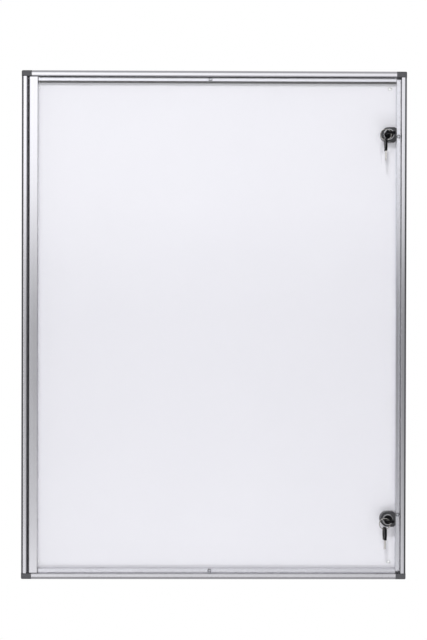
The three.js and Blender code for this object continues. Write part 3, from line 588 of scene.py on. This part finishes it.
def addPiece(name, build, materialName, body, stoodFor=(), smooth=finishSet["smooth"]):
    for face in build.faces:
        face.smooth = True
    mesh = bpy.data.meshes.new(name)
    build.to_mesh(mesh)
    build.free()
    mesh.set_sharp_from_angle(angle=math.radians(smooth))
    mesh.materials.append(materials[materialName])
    piece = linkObject(name, mesh)
    weighted = piece.modifiers.new("weighted", "WEIGHTED_NORMAL")
    weighted.keep_sharp = True
    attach(piece, body)
    if stoodFor:
        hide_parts(*stoodFor)


def standFor(node, build, name, smooth=finishSet["smooth"]):
    materialName, slotName = finishOf(node)
    addPiece(name, build, materialName, bodyOf[node], [node], smooth)


def mergedCopy(node):
    build = bmesh.new()
    build.from_mesh(cadNodes[node].data)
    bmesh.ops.remove_doubles(build, verts=build.verts, dist=finishSet["merge"])
    flat = math.radians(finishSet["flat"])
    bmesh.ops.dissolve_limit(build, angle_limit=flat, verts=build.verts, edges=build.edges)
    return build


def sharpEdges(build, angle=finishSet["sharp"]):
    least = math.radians(angle)
    return [edge for edge in build.edges if edge.is_manifold and edge.calc_face_angle() > least]


def roundOff(build, parts, width, segments, affect="EDGES"):
    bmesh.ops.bevel(
        build, geom=parts, offset=width, offset_type="OFFSET", segments=segments, profile=0.5,
        affect=affect, material=-1, clamp_overlap=True,
    )


def finishNode(node, width):
    build = mergedCopy(node)
    roundOff(build, sharpEdges(build), width, finishSet["segments"])
    standFor(node, build, f"{node}_finished")


# Edge breaks in millimetres: extrusions have small radii, mouldings larger ones
edgeBreaks = {
    "rail_left": 0.25, "rail_right": 0.25, "rail_top": 0.25, "rail_bottom": 0.25,
    "hinge_strip": 0.2,
    "corner_top_left": 0.5, "corner_top_right": 0.5, "corner_bottom_left": 0.5, "corner_bottom_right": 0.5,
    "upper_lock_plate": 0.25, "lower_lock_plate": 0.25,
    "upper_lock_case": 0.35, "lower_lock_case": 0.35,
    "upper_lock_cover": 0.3, "lower_lock_cover": 0.3,
    "upper_lock_nut": 0.3, "lower_lock_nut": 0.3,
    "upper_lock_bolt": 0.2, "lower_lock_bolt": 0.2,
    "upper_lock_plug": 0.2, "lower_lock_plug": 0.2,
}
for nodeName, breakWidth in edgeBreaks.items():
    finishNode(nodeName, breakWidth * mm)

# The pane: the rims of its two faces are broken, and it is cut into cells
paneSet = {"edge": 0.35, "cell": 0.085, "smooth": 20.0}


def cutGrid(build, cell):
    for axis in (0, 2):
        places = [vert.co[axis] for vert in build.verts]
        low, high = min(places), max(places)
        count = math.ceil((high - low) / cell)
        normal = Vector((axis == 0, 0, axis == 2))
        for index in range(1, count):
            middle = normal * (low + (high - low) * index / count)
            geometry = build.verts[:] + build.edges[:] + build.faces[:]
            bmesh.ops.bisect_plane(build, geom=geometry, plane_co=middle, plane_no=normal)


def finishPane(settings):
    build = mergedCopy("door_pane")
    rims = [edge for edge in sharpEdges(build) if abs(edge.verts[0].co.y - edge.verts[1].co.y) < mm]
    roundOff(build, rims, settings["edge"] * mm, 1)
    cutGrid(build, settings["cell"])
    standFor("door_pane", build, "door_pane_finished", settings["smooth"])


finishPane(paneSet)
print("copies finished:", len(edgeBreaks) + 1)

# New pieces are drawn in millimetres round their own axis, then placed in metres
placeSet = {
    "lockAcross": 339.0, "lockHeight": {"upper": 372.0, "lower": -377.4},
    "keyFront": 36.0, "holeFront": 55.6, "bowHole": 19.6,
    "ringRadius": 10.4, "ringHang": 23.04, "ringDrop": 1.0,
    "spareTwist": {"upper": 0.0, "lower": 6.3},  # degrees, as the ring's hang
    "hingeAcross": -357.8, "hingeFront": 25.5,
}
drawSet = {
    "merge": 0.001,
    "touch": 0.01,
    "near": 0.1,
    "facing": 0.9,  # a flat face's normal has more than this across the plate
    "upright": 0.3,  # and a side face's normal less than this
}


def lockPlace(side):
    return Matrix.Translation((placeSet["lockAcross"], 0, placeSet["lockHeight"][side]))


def insertedPlace(side):
    front = Matrix.Translation((0, -placeSet["keyFront"], 0))
    return lockPlace(side) @ front @ Matrix.Rotation(math.pi, 4, "X")


def ringPlace(side):
    hang = math.radians(placeSet["ringHang"])
    radius = placeSet["ringRadius"]
    return lockPlace(side) @ Matrix.Translation((
        -radius * math.cos(hang), -placeSet["holeFront"], -radius * math.sin(hang),
    ))


def sparePlace(side):
    drop = placeSet["ringRadius"] + placeSet["ringDrop"] + placeSet["bowHole"]
    turn = Matrix.Rotation(math.radians(90 + placeSet["spareTwist"][side]), 4, "Z")
    return ringPlace(side) @ Matrix.Translation((0, 0, -drop)) @ turn @ Matrix.Rotation(math.pi / 2, 4, "X")


def hingePlace():
    axis = Matrix.Translation((placeSet["hingeAcross"], -placeSet["hingeFront"], 0))
    return axis @ Matrix.Rotation(-math.pi / 2, 4, "X")


def placePiece(build, node, place, name, smooth=finishSet["smooth"]):
    bmesh.ops.transform(build, matrix=Matrix.Scale(mm, 4) @ place, verts=build.verts)
    standFor(node, build, name, smooth)


def spinRound(build, parts, steps):
    bmesh.ops.spin(
        build, geom=parts, cent=(0, 0, 0), axis=(0, 1, 0), dvec=(0, 0, 0), angle=2 * math.pi, steps=steps,
        use_merge=True, use_duplicate=False,
    )
    bmesh.ops.remove_doubles(build, verts=build.verts, dist=drawSet["merge"])


def turnedBuild(profile, closed, steps):
    build = bmesh.new()
    verts = [build.verts.new((radius, -front, 0)) for radius, front in profile]
    edges = [build.edges.new(pair) for pair in zip(verts, verts[1:])]
    if closed:
        edges.append(build.edges.new((verts[-1], verts[0])))
    spinRound(build, verts + edges, steps)
    bmesh.ops.recalc_face_normals(build, faces=build.faces)
    return build


def facesAt(build, chosen):
    return [face for face in build.faces if chosen(face.calc_center_median(), face.normal)]


def edgesOf(verts):
    return list(dict.fromkeys(edge for vert in verts for edge in vert.link_edges))


def cutFaces(build, faces, point, normal):
    edges = list(dict.fromkeys(edge for face in faces for edge in face.edges))
    verts = list(dict.fromkeys(vert for face in faces for vert in face.verts))
    bmesh.ops.bisect_plane(build, geom=verts + edges + faces, plane_co=point, plane_no=normal)


def insetFaces(build, faces, inset, rise):
    bmesh.ops.inset_region(build, faces=faces, thickness=inset, depth=rise, use_even_offset=True)


def thicken(build, thickness):
    bmesh.ops.translate(build, verts=build.verts, vec=(0, 0, -thickness / 2))
    raised = bmesh.ops.extrude_face_region(build, geom=build.faces[:])["geom"]
    top = [part for part in raised if isinstance(part, bmesh.types.BMVert)]
    bmesh.ops.translate(build, verts=top, vec=(0, 0, thickness))
    bmesh.ops.recalc_face_normals(build, faces=build.faces)


# Cylinder: a plain barrel with a rounded chrome collar round the plug's face
collarSet = {
    "bore": 5.8, "barrel": 8.5, "head": 10.7, "faceBore": 8.7,
    "rear": 15.6, "plateFront": 29.6, "faceFloor": 30.8, "front": 33.2,
    "crown": (1.1, 6), "innerEdge": (0.4, 3), "steps": 72,
}


def collarBuild(settings):
    build = turnedBuild([
        (settings["bore"], settings["rear"]), (settings["barrel"], settings["rear"]),
        (settings["barrel"], settings["plateFront"]), (settings["head"], settings["plateFront"]),
        (settings["head"], settings["front"]), (settings["faceBore"], settings["front"]),
        (settings["faceBore"], settings["faceFloor"]), (settings["bore"], settings["faceFloor"]),
    ], closed=True, steps=settings["steps"])

    def rim(radius):
        return [
            edge for edge in build.edges
            if all(abs(vert.co.y + settings["front"]) < drawSet["touch"] for vert in edge.verts)
            and all(abs(math.hypot(vert.co.x, vert.co.z) - radius) < drawSet["touch"] for vert in edge.verts)
        ]
    roundOff(build, rim(settings["head"]), *settings["crown"])
    roundOff(build, rim(settings["faceBore"]), *settings["innerEdge"])
    return build


# Key head: a moulded plate with a hole for the ring, a sunk grip with ribs and a thicker root
bowSet = {
    "outline": [(-6.4, 0.0), (6.4, 0.0), (10.3, 8.8), (9.9, 25.0), (-9.9, 25.0), (-10.3, 8.8)],
    "crown": (8.4, 9), "flank": (4.5, 5), "thickness": 4.0, "edge": (0.8, 4),
    "hole": {"radius": 3.0, "height": 19.6, "edge": (0.5, 3), "rim": 0.2, "field": 4.4, "sides": 24},
    "grip": {"half": 5.8, "low": 4.6, "high": 12.6, "inset": 0.5, "depth": 0.45},
    "ribs": {"heights": [5.9, 7.5, 9.1, 10.7], "width": 0.8, "inset": 0.15, "rise": 0.4},
    "root": {"size": (12.8, 3.2, 5.4), "top": 0.78, "edge": (0.5, 3)},
}


def bowPlate(settings):
    build = bmesh.new()
    corners = [build.verts.new((x, y, 0)) for x, y in settings["outline"]]
    build.faces.new(corners)
    roundOff(build, corners[3:5], *settings["crown"], "VERTICES")
    roundOff(build, [corners[2], corners[5]], *settings["flank"], "VERTICES")
    grip, height, field = settings["grip"], settings["hole"]["height"], settings["hole"]["field"]
    for level in (grip["low"], grip["high"], height - field, height + field):
        cutFaces(build, build.faces[:], (0, level, 0), (0, 1, 0))
    for side in (-1, 1):
        band = facesAt(build, lambda middle, normal: grip["low"] < middle.y < grip["high"])
        cutFaces(build, band, (side * grip["half"], 0, 0), (1, 0, 0))
        band = facesAt(build, lambda middle, normal: abs(middle.y - height) < field)
        cutFaces(build, band, (side * field, 0, 0), (1, 0, 0))
    return build


def cutBowHole(build, hole):
    height, near = hole["height"], drawSet["near"]
    square = facesAt(build, lambda middle, normal: abs(middle.y - height) < near and abs(middle.x) < near)
    sides = list(square[0].edges)
    bmesh.ops.delete(build, geom=square, context="FACES_ONLY")
    bmesh.ops.subdivide_edges(build, edges=sides, cuts=hole["sides"] // 4 - 1)
    turn = Matrix.Translation((0, height, 0)) @ Matrix.Rotation(math.pi / 4, 4, "Z")
    circle = bmesh.ops.create_circle(build, segments=hole["sides"], radius=hole["radius"], matrix=turn)
    reach = hole["field"] + drawSet["touch"]
    around = [
        edge for edge in build.edges
        if len(edge.link_faces) == 1
        and all(abs(vert.co.x) < reach and abs(vert.co.y - height) < reach for vert in edge.verts)
    ]
    bmesh.ops.bridge_loops(build, edges=around + edgesOf(circle["verts"]))


def markBowGrip(build, side, half, grip, ribs):
    touch, facing = drawSet["touch"], drawSet["facing"]
    sunk = facesAt(build, lambda middle, normal: (
        normal.z * side > facing and abs(middle.x) < grip["half"] and grip["low"] < middle.y < grip["high"]
    ))
    insetFaces(build, sunk, grip["inset"], -grip["depth"])
    floor = half - grip["depth"]
    for rib in ribs["heights"]:
        for level in (rib - ribs["width"] / 2, rib + ribs["width"] / 2):
            flat = facesAt(build, lambda middle, normal: abs(middle.z * side - floor) < touch)
            cutFaces(build, flat, (0, level, 0), (0, 1, 0))
    for rib in ribs["heights"]:
        bar = facesAt(build, lambda middle, normal: (
            abs(middle.z * side - floor) < touch and abs(middle.y - rib) < drawSet["near"]
            and normal.z * side > facing
        ))
        insetFaces(build, bar, ribs["inset"], ribs["rise"])


def roundBow(build, settings):
    hole = settings["hole"]

    def outline(edge):
        steep = sorted(abs(face.normal.z) for face in edge.link_faces)
        return steep[0] < drawSet["upright"] and steep[1] > drawSet["facing"]

    def nearHole(edge):
        middle = (edge.verts[0].co + edge.verts[1].co) / 2
        return math.hypot(middle.x, middle.y - hole["height"]) < hole["radius"] + hole["rim"]
    rims = [edge for edge in build.edges if outline(edge)]
    roundOff(build, [edge for edge in rims if not nearHole(edge)], *settings["edge"])
    rims = [edge for edge in build.edges if outline(edge) and nearHole(edge)]
    roundOff(build, rims, *hole["edge"])


def addBowRoot(build, root):
    height = root["size"][1]
    verts = bmesh.ops.create_cube(build, size=1.0)["verts"]
    bmesh.ops.scale(build, vec=root["size"], verts=verts)
    bmesh.ops.translate(build, vec=(0, height / 2, 0), verts=verts)
    top = [vert for vert in verts if vert.co.y > height - drawSet["touch"]]
    bmesh.ops.scale(build, vec=(1, 1, root["top"]), verts=top)
    roundOff(build, edgesOf(verts), *root["edge"])


def bowBuild(settings):
    build = bowPlate(settings)
    cutBowHole(build, settings["hole"])
    thicken(build, settings["thickness"])
    for side in (-1, 1):
        markBowGrip(build, side, settings["thickness"] / 2, settings["grip"], settings["ribs"])
    roundBow(build, settings)
    addBowRoot(build, settings["root"])
    return build


# Key blade: shoulder, tang and bitted edge, with a milled groove along each side
bladeSet = {
    "thickness": 2.0, "halfWidth": 3.5, "tip": 2.0, "length": 16.3,
    "shoulder": (4.5, 2.5), "tang": (2.6, 7.0),
    "cuts": [0.45, 1.0, 0.6, 0.85, 0.35],
    "cutDepth": 2.0, "cutStart": 0.14, "cutPitch": 0.15, "cutFlat": 0.35,
    "groove": (-2.1, -0.7), "grooveInset": 0.12, "grooveDepth": 0.5, "edge": (0.14, 2), "smooth": 30.0,
}


def bladeOutline(settings):
    half, length, flat = settings["halfWidth"], settings["length"], settings["cutFlat"]
    shoulderHalf, shoulderLength = settings["shoulder"]
    tangHalf, tangLength = settings["tang"]
    bottom = -shoulderLength - length
    pitch = length * settings["cutPitch"]
    outline = [(half - settings["tip"], bottom)]
    for index, share in enumerate(settings["cuts"]):
        start = bottom + length * (settings["cutStart"] + index * settings["cutPitch"])
        deep = half - settings["cutDepth"] * share
        outline += [(half, start), (deep, start + pitch * flat), (deep, start + pitch * (1 - flat))]
    return outline + [
        (half, -shoulderLength - length * settings["cutStart"] / 2), (half, -shoulderLength),
        (shoulderHalf, -shoulderLength), (shoulderHalf, 0), (tangHalf, 0), (tangHalf, tangLength),
        (-tangHalf, tangLength), (-tangHalf, 0), (-shoulderHalf, 0), (-shoulderHalf, -shoulderLength),
        (-half, -shoulderLength), (-half, bottom + settings["tip"]),
    ]


def bladeBuild(settings):
    shoulderLength = settings["shoulder"][1]
    near, far = settings["groove"]
    build = bmesh.new()
    build.faces.new([build.verts.new((x, y, 0)) for x, y in bladeOutline(settings)])
    cutFaces(build, build.faces[:], (0, -shoulderLength, 0), (0, 1, 0))
    for place in (near, far):
        lower = facesAt(build, lambda middle, normal: middle.y < -shoulderLength)
        cutFaces(build, lower, (place, 0, 0), (1, 0, 0))
    thicken(build, settings["thickness"])
    for side in (-1, 1):
        track = facesAt(build, lambda middle, normal: (
            normal.z * side > drawSet["facing"] and near < middle.x < far and middle.y < -shoulderLength
        ))
        insetFaces(build, track, settings["grooveInset"], -settings["grooveDepth"])
    roundOff(build, sharpEdges(build), *settings["edge"])
    return build


# Split ring: two turns of round wire that climb beside each other
ringSet = {
    "radius": 10.4, "wire": 0.6, "pitch": 1.75, "turns": 2, "start": 135.0,  # degrees
    "stepsPerTurn": 40, "sides": 12, "edge": (0.15, 2),
}


def ringBuild(settings):
    build = bmesh.new()
    turns, steps = settings["turns"], settings["stepsPerTurn"]
    section = bmesh.ops.create_circle(
        build, segments=settings["sides"], radius=settings["wire"], cap_ends=True,
    )["verts"]
    bmesh.ops.translate(build, verts=section, vec=(settings["radius"], -settings["pitch"] * turns / 2, 0))
    turn = Matrix.Rotation(math.radians(-settings["start"]), 4, "Y")
    bmesh.ops.transform(build, matrix=turn, verts=section)
    bmesh.ops.spin(
        build, geom=build.verts[:] + build.edges[:] + build.faces[:], cent=(0, 0, 0), axis=(0, -1, 0),
        dvec=(0, settings["pitch"] / steps, 0), angle=turns * 2 * math.pi, steps=turns * steps,
        use_merge=False, use_duplicate=False,
    )
    bmesh.ops.recalc_face_normals(build, faces=build.faces)
    roundOff(build, sharpEdges(build, finishSet["sharpTurned"]), *settings["edge"])
    return build


# Bumper: a clear dome, cut from a sphere
bumperSet = {"radius": 3.7, "height": 1.5, "level": 21.0, "arc": 9, "steps": 40, "smooth": 60.0}


def bumperBuild(settings):
    build = bmesh.new()
    radius, height, level = settings["radius"], settings["height"], settings["level"]
    sphere = (radius ** 2 + height ** 2) / (2 * height)
    rim = build.verts.new((radius, -level, 0))
    bmesh.ops.spin(
        build, geom=[rim], cent=(0, sphere - level - height, 0), axis=(0, 0, 1), dvec=(0, 0, 0),
        angle=-math.asin(radius / sphere), steps=settings["arc"], use_merge=False, use_duplicate=False,
    )
    spinRound(build, build.verts[:] + build.edges[:], settings["steps"])
    bmesh.ops.holes_fill(build, edges=[edge for edge in build.edges if edge.is_boundary], sides=0)
    bmesh.ops.recalc_face_normals(build, faces=build.faces)
    return build


# Hinge pins and washers, between the ends of the strip and the corner pieces
pinSet = {"radius": 1.4, "near": 464.0, "far": 488.0, "edge": (0.4, 3), "steps": 32}
washerSet = {"bore": 1.6, "radius": 2.9, "near": 482.2, "far": 482.8, "edge": (0.15, 2), "steps": 40}


def pinBuild(settings, end):
    radius, near, far = settings["radius"], end * settings["near"], end * settings["far"]
    build = turnedBuild([(0, near), (radius, near), (radius, far), (0, far)], False, settings["steps"])
    roundOff(build, sharpEdges(build, finishSet["sharpTurned"]), *settings["edge"])
    return build


def washerBuild(settings, end):
    bore, radius = settings["bore"], settings["radius"]
    near, far = end * settings["near"], end * settings["far"]
    build = turnedBuild([(bore, near), (radius, near), (radius, far), (bore, far)], True, settings["steps"])
    roundOff(build, sharpEdges(build, finishSet["sharpTurned"]), *settings["edge"])
    return build


# Dark strips: a brush seal along the hinge, and black rubber in the gap above the pane and inside the top
# ledge
darkStripSets = {
    # A real brush seal, whose black pile also stands in for the shade in the gap beside the hinge strip
    "hingeBrushSealAndShade": {
        "low": (-365.2, -28.6, -481.0), "high": (-362.3, -24.0, 481.0),
        "edge": (1.1, 4), "finish": "brushPile",
    },
    # Painted shade: black rubber in the gap above the pane, where the rim's down-facing wall is in shadow
    "gapShadeStrip": {
        "low": (-341, -26.0, 481.9), "high": (352, -21.05, 483.0),
        "edge": (0.35, 4), "finish": "shadeStripRubber",
    },
    # Painted shade: black rubber along the top ledge, standing in for the shadow under its down-facing inner
    # wall
    "ledgeShadeStrip": {
        "low": (-342, -20.4, 473.4), "high": (354.6, -8.0, 475.0),
        "edge": (0.35, 4), "finish": "shadeStripRubber",
    },
}


def darkStripBuild(settings):
    low, high = Vector(settings["low"]), Vector(settings["high"])
    build = bmesh.new()
    bmesh.ops.create_cube(build, size=1.0)
    bmesh.ops.scale(build, vec=high - low, verts=build.verts)
    bmesh.ops.translate(build, vec=(high + low) / 2, verts=build.verts)
    roundOff(build, build.edges[:], *settings["edge"])
    bmesh.ops.scale(build, vec=(mm, mm, mm), verts=build.verts)
    return build


for darkStripName, darkStripSet in darkStripSets.items():
    addPiece(darkStripName, darkStripBuild(darkStripSet), darkStripSet["finish"], "frame")

# Nylon grommets in the four holes for the wall screws
grommetSet = {
    "across": 344.0, "height": 464.0,
    "bore": 2.15, "sleeve": 3.2, "flange": 4.7, "rear": 4.5, "seat": 7.8, "front": 8.5,
    "edge": (0.22, 3), "steps": 40,
}


def grommetBuild(settings):
    build = turnedBuild([
        (settings["bore"], settings["rear"]), (settings["sleeve"], settings["rear"]),
        (settings["sleeve"], settings["seat"]), (settings["flange"], settings["seat"]),
        (settings["flange"], settings["front"]), (settings["bore"], settings["front"]),
    ], closed=True, steps=settings["steps"])
    roundOff(build, sharpEdges(build, finishSet["sharpTurned"]), *settings["edge"])
    return build


grommetCorners = {"topLeft": (-1, 1), "topRight": (1, 1), "bottomLeft": (-1, -1), "bottomRight": (1, -1)}
for cornerName, (acrossSign, heightSign) in grommetCorners.items():
    grommet = grommetBuild(grommetSet)
    place = (acrossSign * grommetSet["across"], 0, heightSign * grommetSet["height"])
    bmesh.ops.transform(grommet, matrix=Matrix.Scale(mm, 4) @ Matrix.Translation(place), verts=grommet.verts)
    addPiece(f"{cornerName}Grommet", grommet, "whiteNylon", "frame")
print("seals and grommets made")

for side in ("upper", "lower"):
    placePiece(collarBuild(collarSet), f"{side}_lock_cylinder", lockPlace(side), f"{side}_lock_collar")
    for node, place in ((f"{side}_key", insertedPlace(side)), (f"{side}_spare_key", sparePlace(side))):
        placePiece(bowBuild(bowSet), f"{node}_bow", place, f"{node}_head")
        placePiece(bladeBuild(bladeSet), f"{node}_blade", place, f"{node}_milled_blade", bladeSet["smooth"])
    placePiece(ringBuild(ringSet), f"{side}_ring", ringPlace(side), f"{side}_split_ring")
print("locks' collars, keys and split rings made")

bumperPlaces = {
    "bumper_top": (-8.0, 479.0), "bumper_bottom": (-8.0, -479.0),
    "bumper_upper_right": (359.0, 369.0), "bumper_lower_right": (359.0, -369.0),
}
for node, (across, height) in bumperPlaces.items():
    place = Matrix.Translation((across, 0, height))
    placePiece(bumperBuild(bumperSet), node, place, f"{node}_dome", bumperSet["smooth"])
for end, endName in ((1, "top"), (-1, "bottom")):
    pin, washer = f"hinge_pin_{endName}", f"hinge_washer_{endName}"
    placePiece(pinBuild(pinSet, end), pin, hingePlace(), f"{pin}_round")
    placePiece(washerBuild(washerSet, end), washer, hingePlace(), f"{washer}_round")
print("bumpers, hinge pins and washers made")

# Floor at the height under a board hung at eye level, and a white studio round it
stageSet = {
    "floorLevel": -1.5,
    "floorHalf": 9.0,
    "floorColour": (0.90, 0.90, 0.91, 1),
    "floorRoughness": 0.9,
    "fade": (1.2, 3.0),
    "glow": 0.72,
    "ambient": 0.30,
    "ambientColour": (0.97, 0.975, 1.0, 1),
    "background": 1.0,
    "white": (1, 1, 1, 1),
    "mirrorDepth": 0.5,
}


# The corners of a flat or an upright rectangle, from two that lie opposite
def cardCorners(near, far):
    if near[2] == far[2]:
        return [near, (far[0], near[1], near[2]), far, (near[0], far[1], near[2])]
    return [near, (far[0], far[1], near[2]), far, (near[0], near[1], far[2])]


def makeCard(name, near, far, material):
    build = bmesh.new()
    build.faces.new([build.verts.new(corner) for corner in cardCorners(near, far)])
    mesh = bpy.data.meshes.new(name)
    build.to_mesh(mesh)
    build.free()
    mesh.materials.append(material)
    card = linkObject(name, mesh)
    return card


# 1 where sight, a reflection or a view through glass meets the surface, and 0 for its light on the board
def seenDirectly(tree):
    path = addNode(tree, "ShaderNodeLightPath").outputs
    seen = mathNode(tree, "ADD", path["Is Camera Ray"], path["Is Glossy Ray"], clamp=True)
    return mathNode(tree, "ADD", seen, path["Is Transmission Ray"], clamp=True)


def makeFloor(settings):
    half, level = settings["floorHalf"], settings["floorLevel"]
    values = {"Base Color": settings["floorColour"], "Roughness": settings["floorRoughness"]}
    material, tree, shader = startMaterial("floorPaper", values)
    reach = vectorMath(tree, "ADD", objectPlace(tree), (0, 0, -level))[0]
    away = vectorMath(tree, "LENGTH", reach)["Value"]
    fade = mapRange(tree, away, settings["fade"], (settings["glow"], 1.0), "SMOOTHSTEP")
    white = addNode(tree, "ShaderNodeEmission", {
        "Color": settings["white"], "Strength": settings["background"],
    })
    mixOutput(tree, mathNode(tree, "MULTIPLY", fade, seenDirectly(tree)), shader, white)
    makeCard("floor", (-half, -half, level), (half, half, level), material)


def makeWorld(settings):
    world = bpy.data.worlds.new("studio")
    world.use_nodes = True
    tree = world.node_tree
    tree.nodes.clear()
    tree.nodes.new("ShaderNodeOutputWorld")
    room = addNode(tree, "ShaderNodeBackground", {
        "Color": settings["ambientColour"], "Strength": settings["ambient"],
    })
    white = addNode(tree, "ShaderNodeBackground", {
        "Color": settings["white"], "Strength": settings["background"],
    })
    mixOutput(tree, seenDirectly(tree), room, white)
    bpy.context.scene.world = world


makeFloor(stageSet)
makeWorld(stageSet)

# Lamps aimed at the board's middle: a high key that casts the locks' shadows, a soft one beside it and one
# low down. Reflections come from the cards
lampSets = {
    "keyLamp": {"place": (-0.25, -3.0, 1.6), "size": (0.35, 0.35), "power": 50},
    "sideLamp": {"place": (-0.15, -4.1, -0.20), "size": (0.8, 2.2), "power": 36},
    "fillLamp": {"place": (0.25, -2.0, -1.2), "size": (2.2, 0.3), "power": 12},
}


def makeLamp(name, settings):
    data = bpy.data.lights.new(name, "AREA")
    data.shape = "RECTANGLE"
    data.size, data.size_y = settings["size"]
    data.energy = settings["power"]
    lamp = linkObject(name, data)
    turn = Vector(settings["place"]).to_track_quat("Z", "Y").to_matrix().to_4x4()
    lamp.matrix_world = Matrix.Translation(settings["place"]) @ turn
    lamp.visible_camera = False
    lamp.visible_glossy = False
    lamp.visible_transmission = False


for lampName, lampSet in lampSets.items():
    makeLamp(lampName, lampSet)

# Cards that only reflections see: dark ones at the sides, and a wide one behind the camera, dim at its height
cardSets = {
    "leftCard": {"near": (-2.2, -1.9, -1.4), "far": (-2.2, 0.5, 1.8), "level": 0.08},
    "leftRearCard": {"near": (-2.2, 0.5, -1.4), "far": (-2.2, 1.5, 1.8), "level": 0.45},
    "leftFrontCard": {"near": (-2.2, -3.5, -1.4), "far": (-2.2, -1.9, 1.8), "level": 0.25},
    "rightCard": {"near": (2.2, 0.5, -1.4), "far": (2.2, -1.9, 1.8), "level": 0.05},
    "rightRearCard": {"near": (2.2, 1.5, -1.4), "far": (2.2, 0.5, 1.8), "level": 0.45},
    "rightFrontCard": {"near": (2.2, -1.9, -1.4), "far": (2.2, -3.5, 1.8), "level": 0.25},
    "cameraCard": {
        "near": (-2.6, -3.6, -1.49), "far": (2.6, -3.6, 2.6), "level": 1.45,
        "ramp": [  # height and grey
            (-1.49, 1.0), (-1.24, 0.92), (-1.12, 0.62), (-1.0, 0.57), (-0.5, 0.36), (0.0, 0.28), (0.25, 0.46),
            (0.55, 0.85), (0.9, 1.0),
        ],
        "across": (-1.4, 1.4), "acrossLevels": (1.0, 0.7),
    },
    "keyCard": {"near": (-1.45, -2.9, -0.7), "far": (-0.95, -2.9, 0.8), "level": 1.3},
    "topCard": {"near": (-2.2, -3.5, 1.8), "far": (2.2, 1.5, 1.8), "level": 0.50},
    "bottomCard": {"near": (-2.2, -3.5, -1.4), "far": (2.2, 1.5, -1.4), "level": 0.40},
}


def makeRamp(tree, shader, settings):
    place = addNode(tree, "ShaderNodeSeparateXYZ", {0: objectPlace(tree)}).outputs
    low, high = settings["ramp"][0][0], settings["ramp"][-1][0]
    ramp = addNode(tree, "ShaderNodeValToRGB", {"Fac": mapRange(tree, place["Z"], (low, high))})
    stops = ramp.color_ramp.elements
    for level, grey in settings["ramp"]:
        share = (level - low) / (high - low)
        stop = stops.new(share) if low < level < high else stops[0 if level == low else -1]
        stop.color = (grey, grey, grey, 1)
    side = mapRange(tree, place["X"], settings["across"], settings["acrossLevels"])
    both = vectorMath(tree, "MULTIPLY", ramp.outputs["Color"], side)[0]
    tree.links.new(both, shader.inputs["Emission Color"])


# A card shows in a reflection, and not straight through the open door's pane
def showMirrored(tree, shader, settings):
    path = addNode(tree, "ShaderNodeLightPath").outputs
    mirrored = mathNode(tree, "GREATER_THAN", path["Glossy Depth"], settings["mirrorDepth"])
    mixOutput(tree, mirrored, addNode(tree, "ShaderNodeBsdfTransparent"), shader)


for cardName, cardSet in cardSets.items():
    cardMaterial, cardTree, cardShader = startMaterial(cardName, {
        "Base Color": (0, 0, 0, 1), "Roughness": 1.0, "Specular IOR Level": 0.0,
        "Emission Color": (1, 1, 1, 1), "Emission Strength": cardSet["level"],
    })
    if "ramp" in cardSet:
        makeRamp(cardTree, cardShader, cardSet)
    showMirrored(cardTree, cardShader, stageSet)
    card = makeCard(cardName, cardSet["near"], cardSet["far"], cardMaterial)
    card.visible_camera = False
    card.visible_diffuse = False
    card.visible_shadow = False

bpy.context.scene.view_settings.view_transform = "Standard"
print("stage, lamps and cards placed")
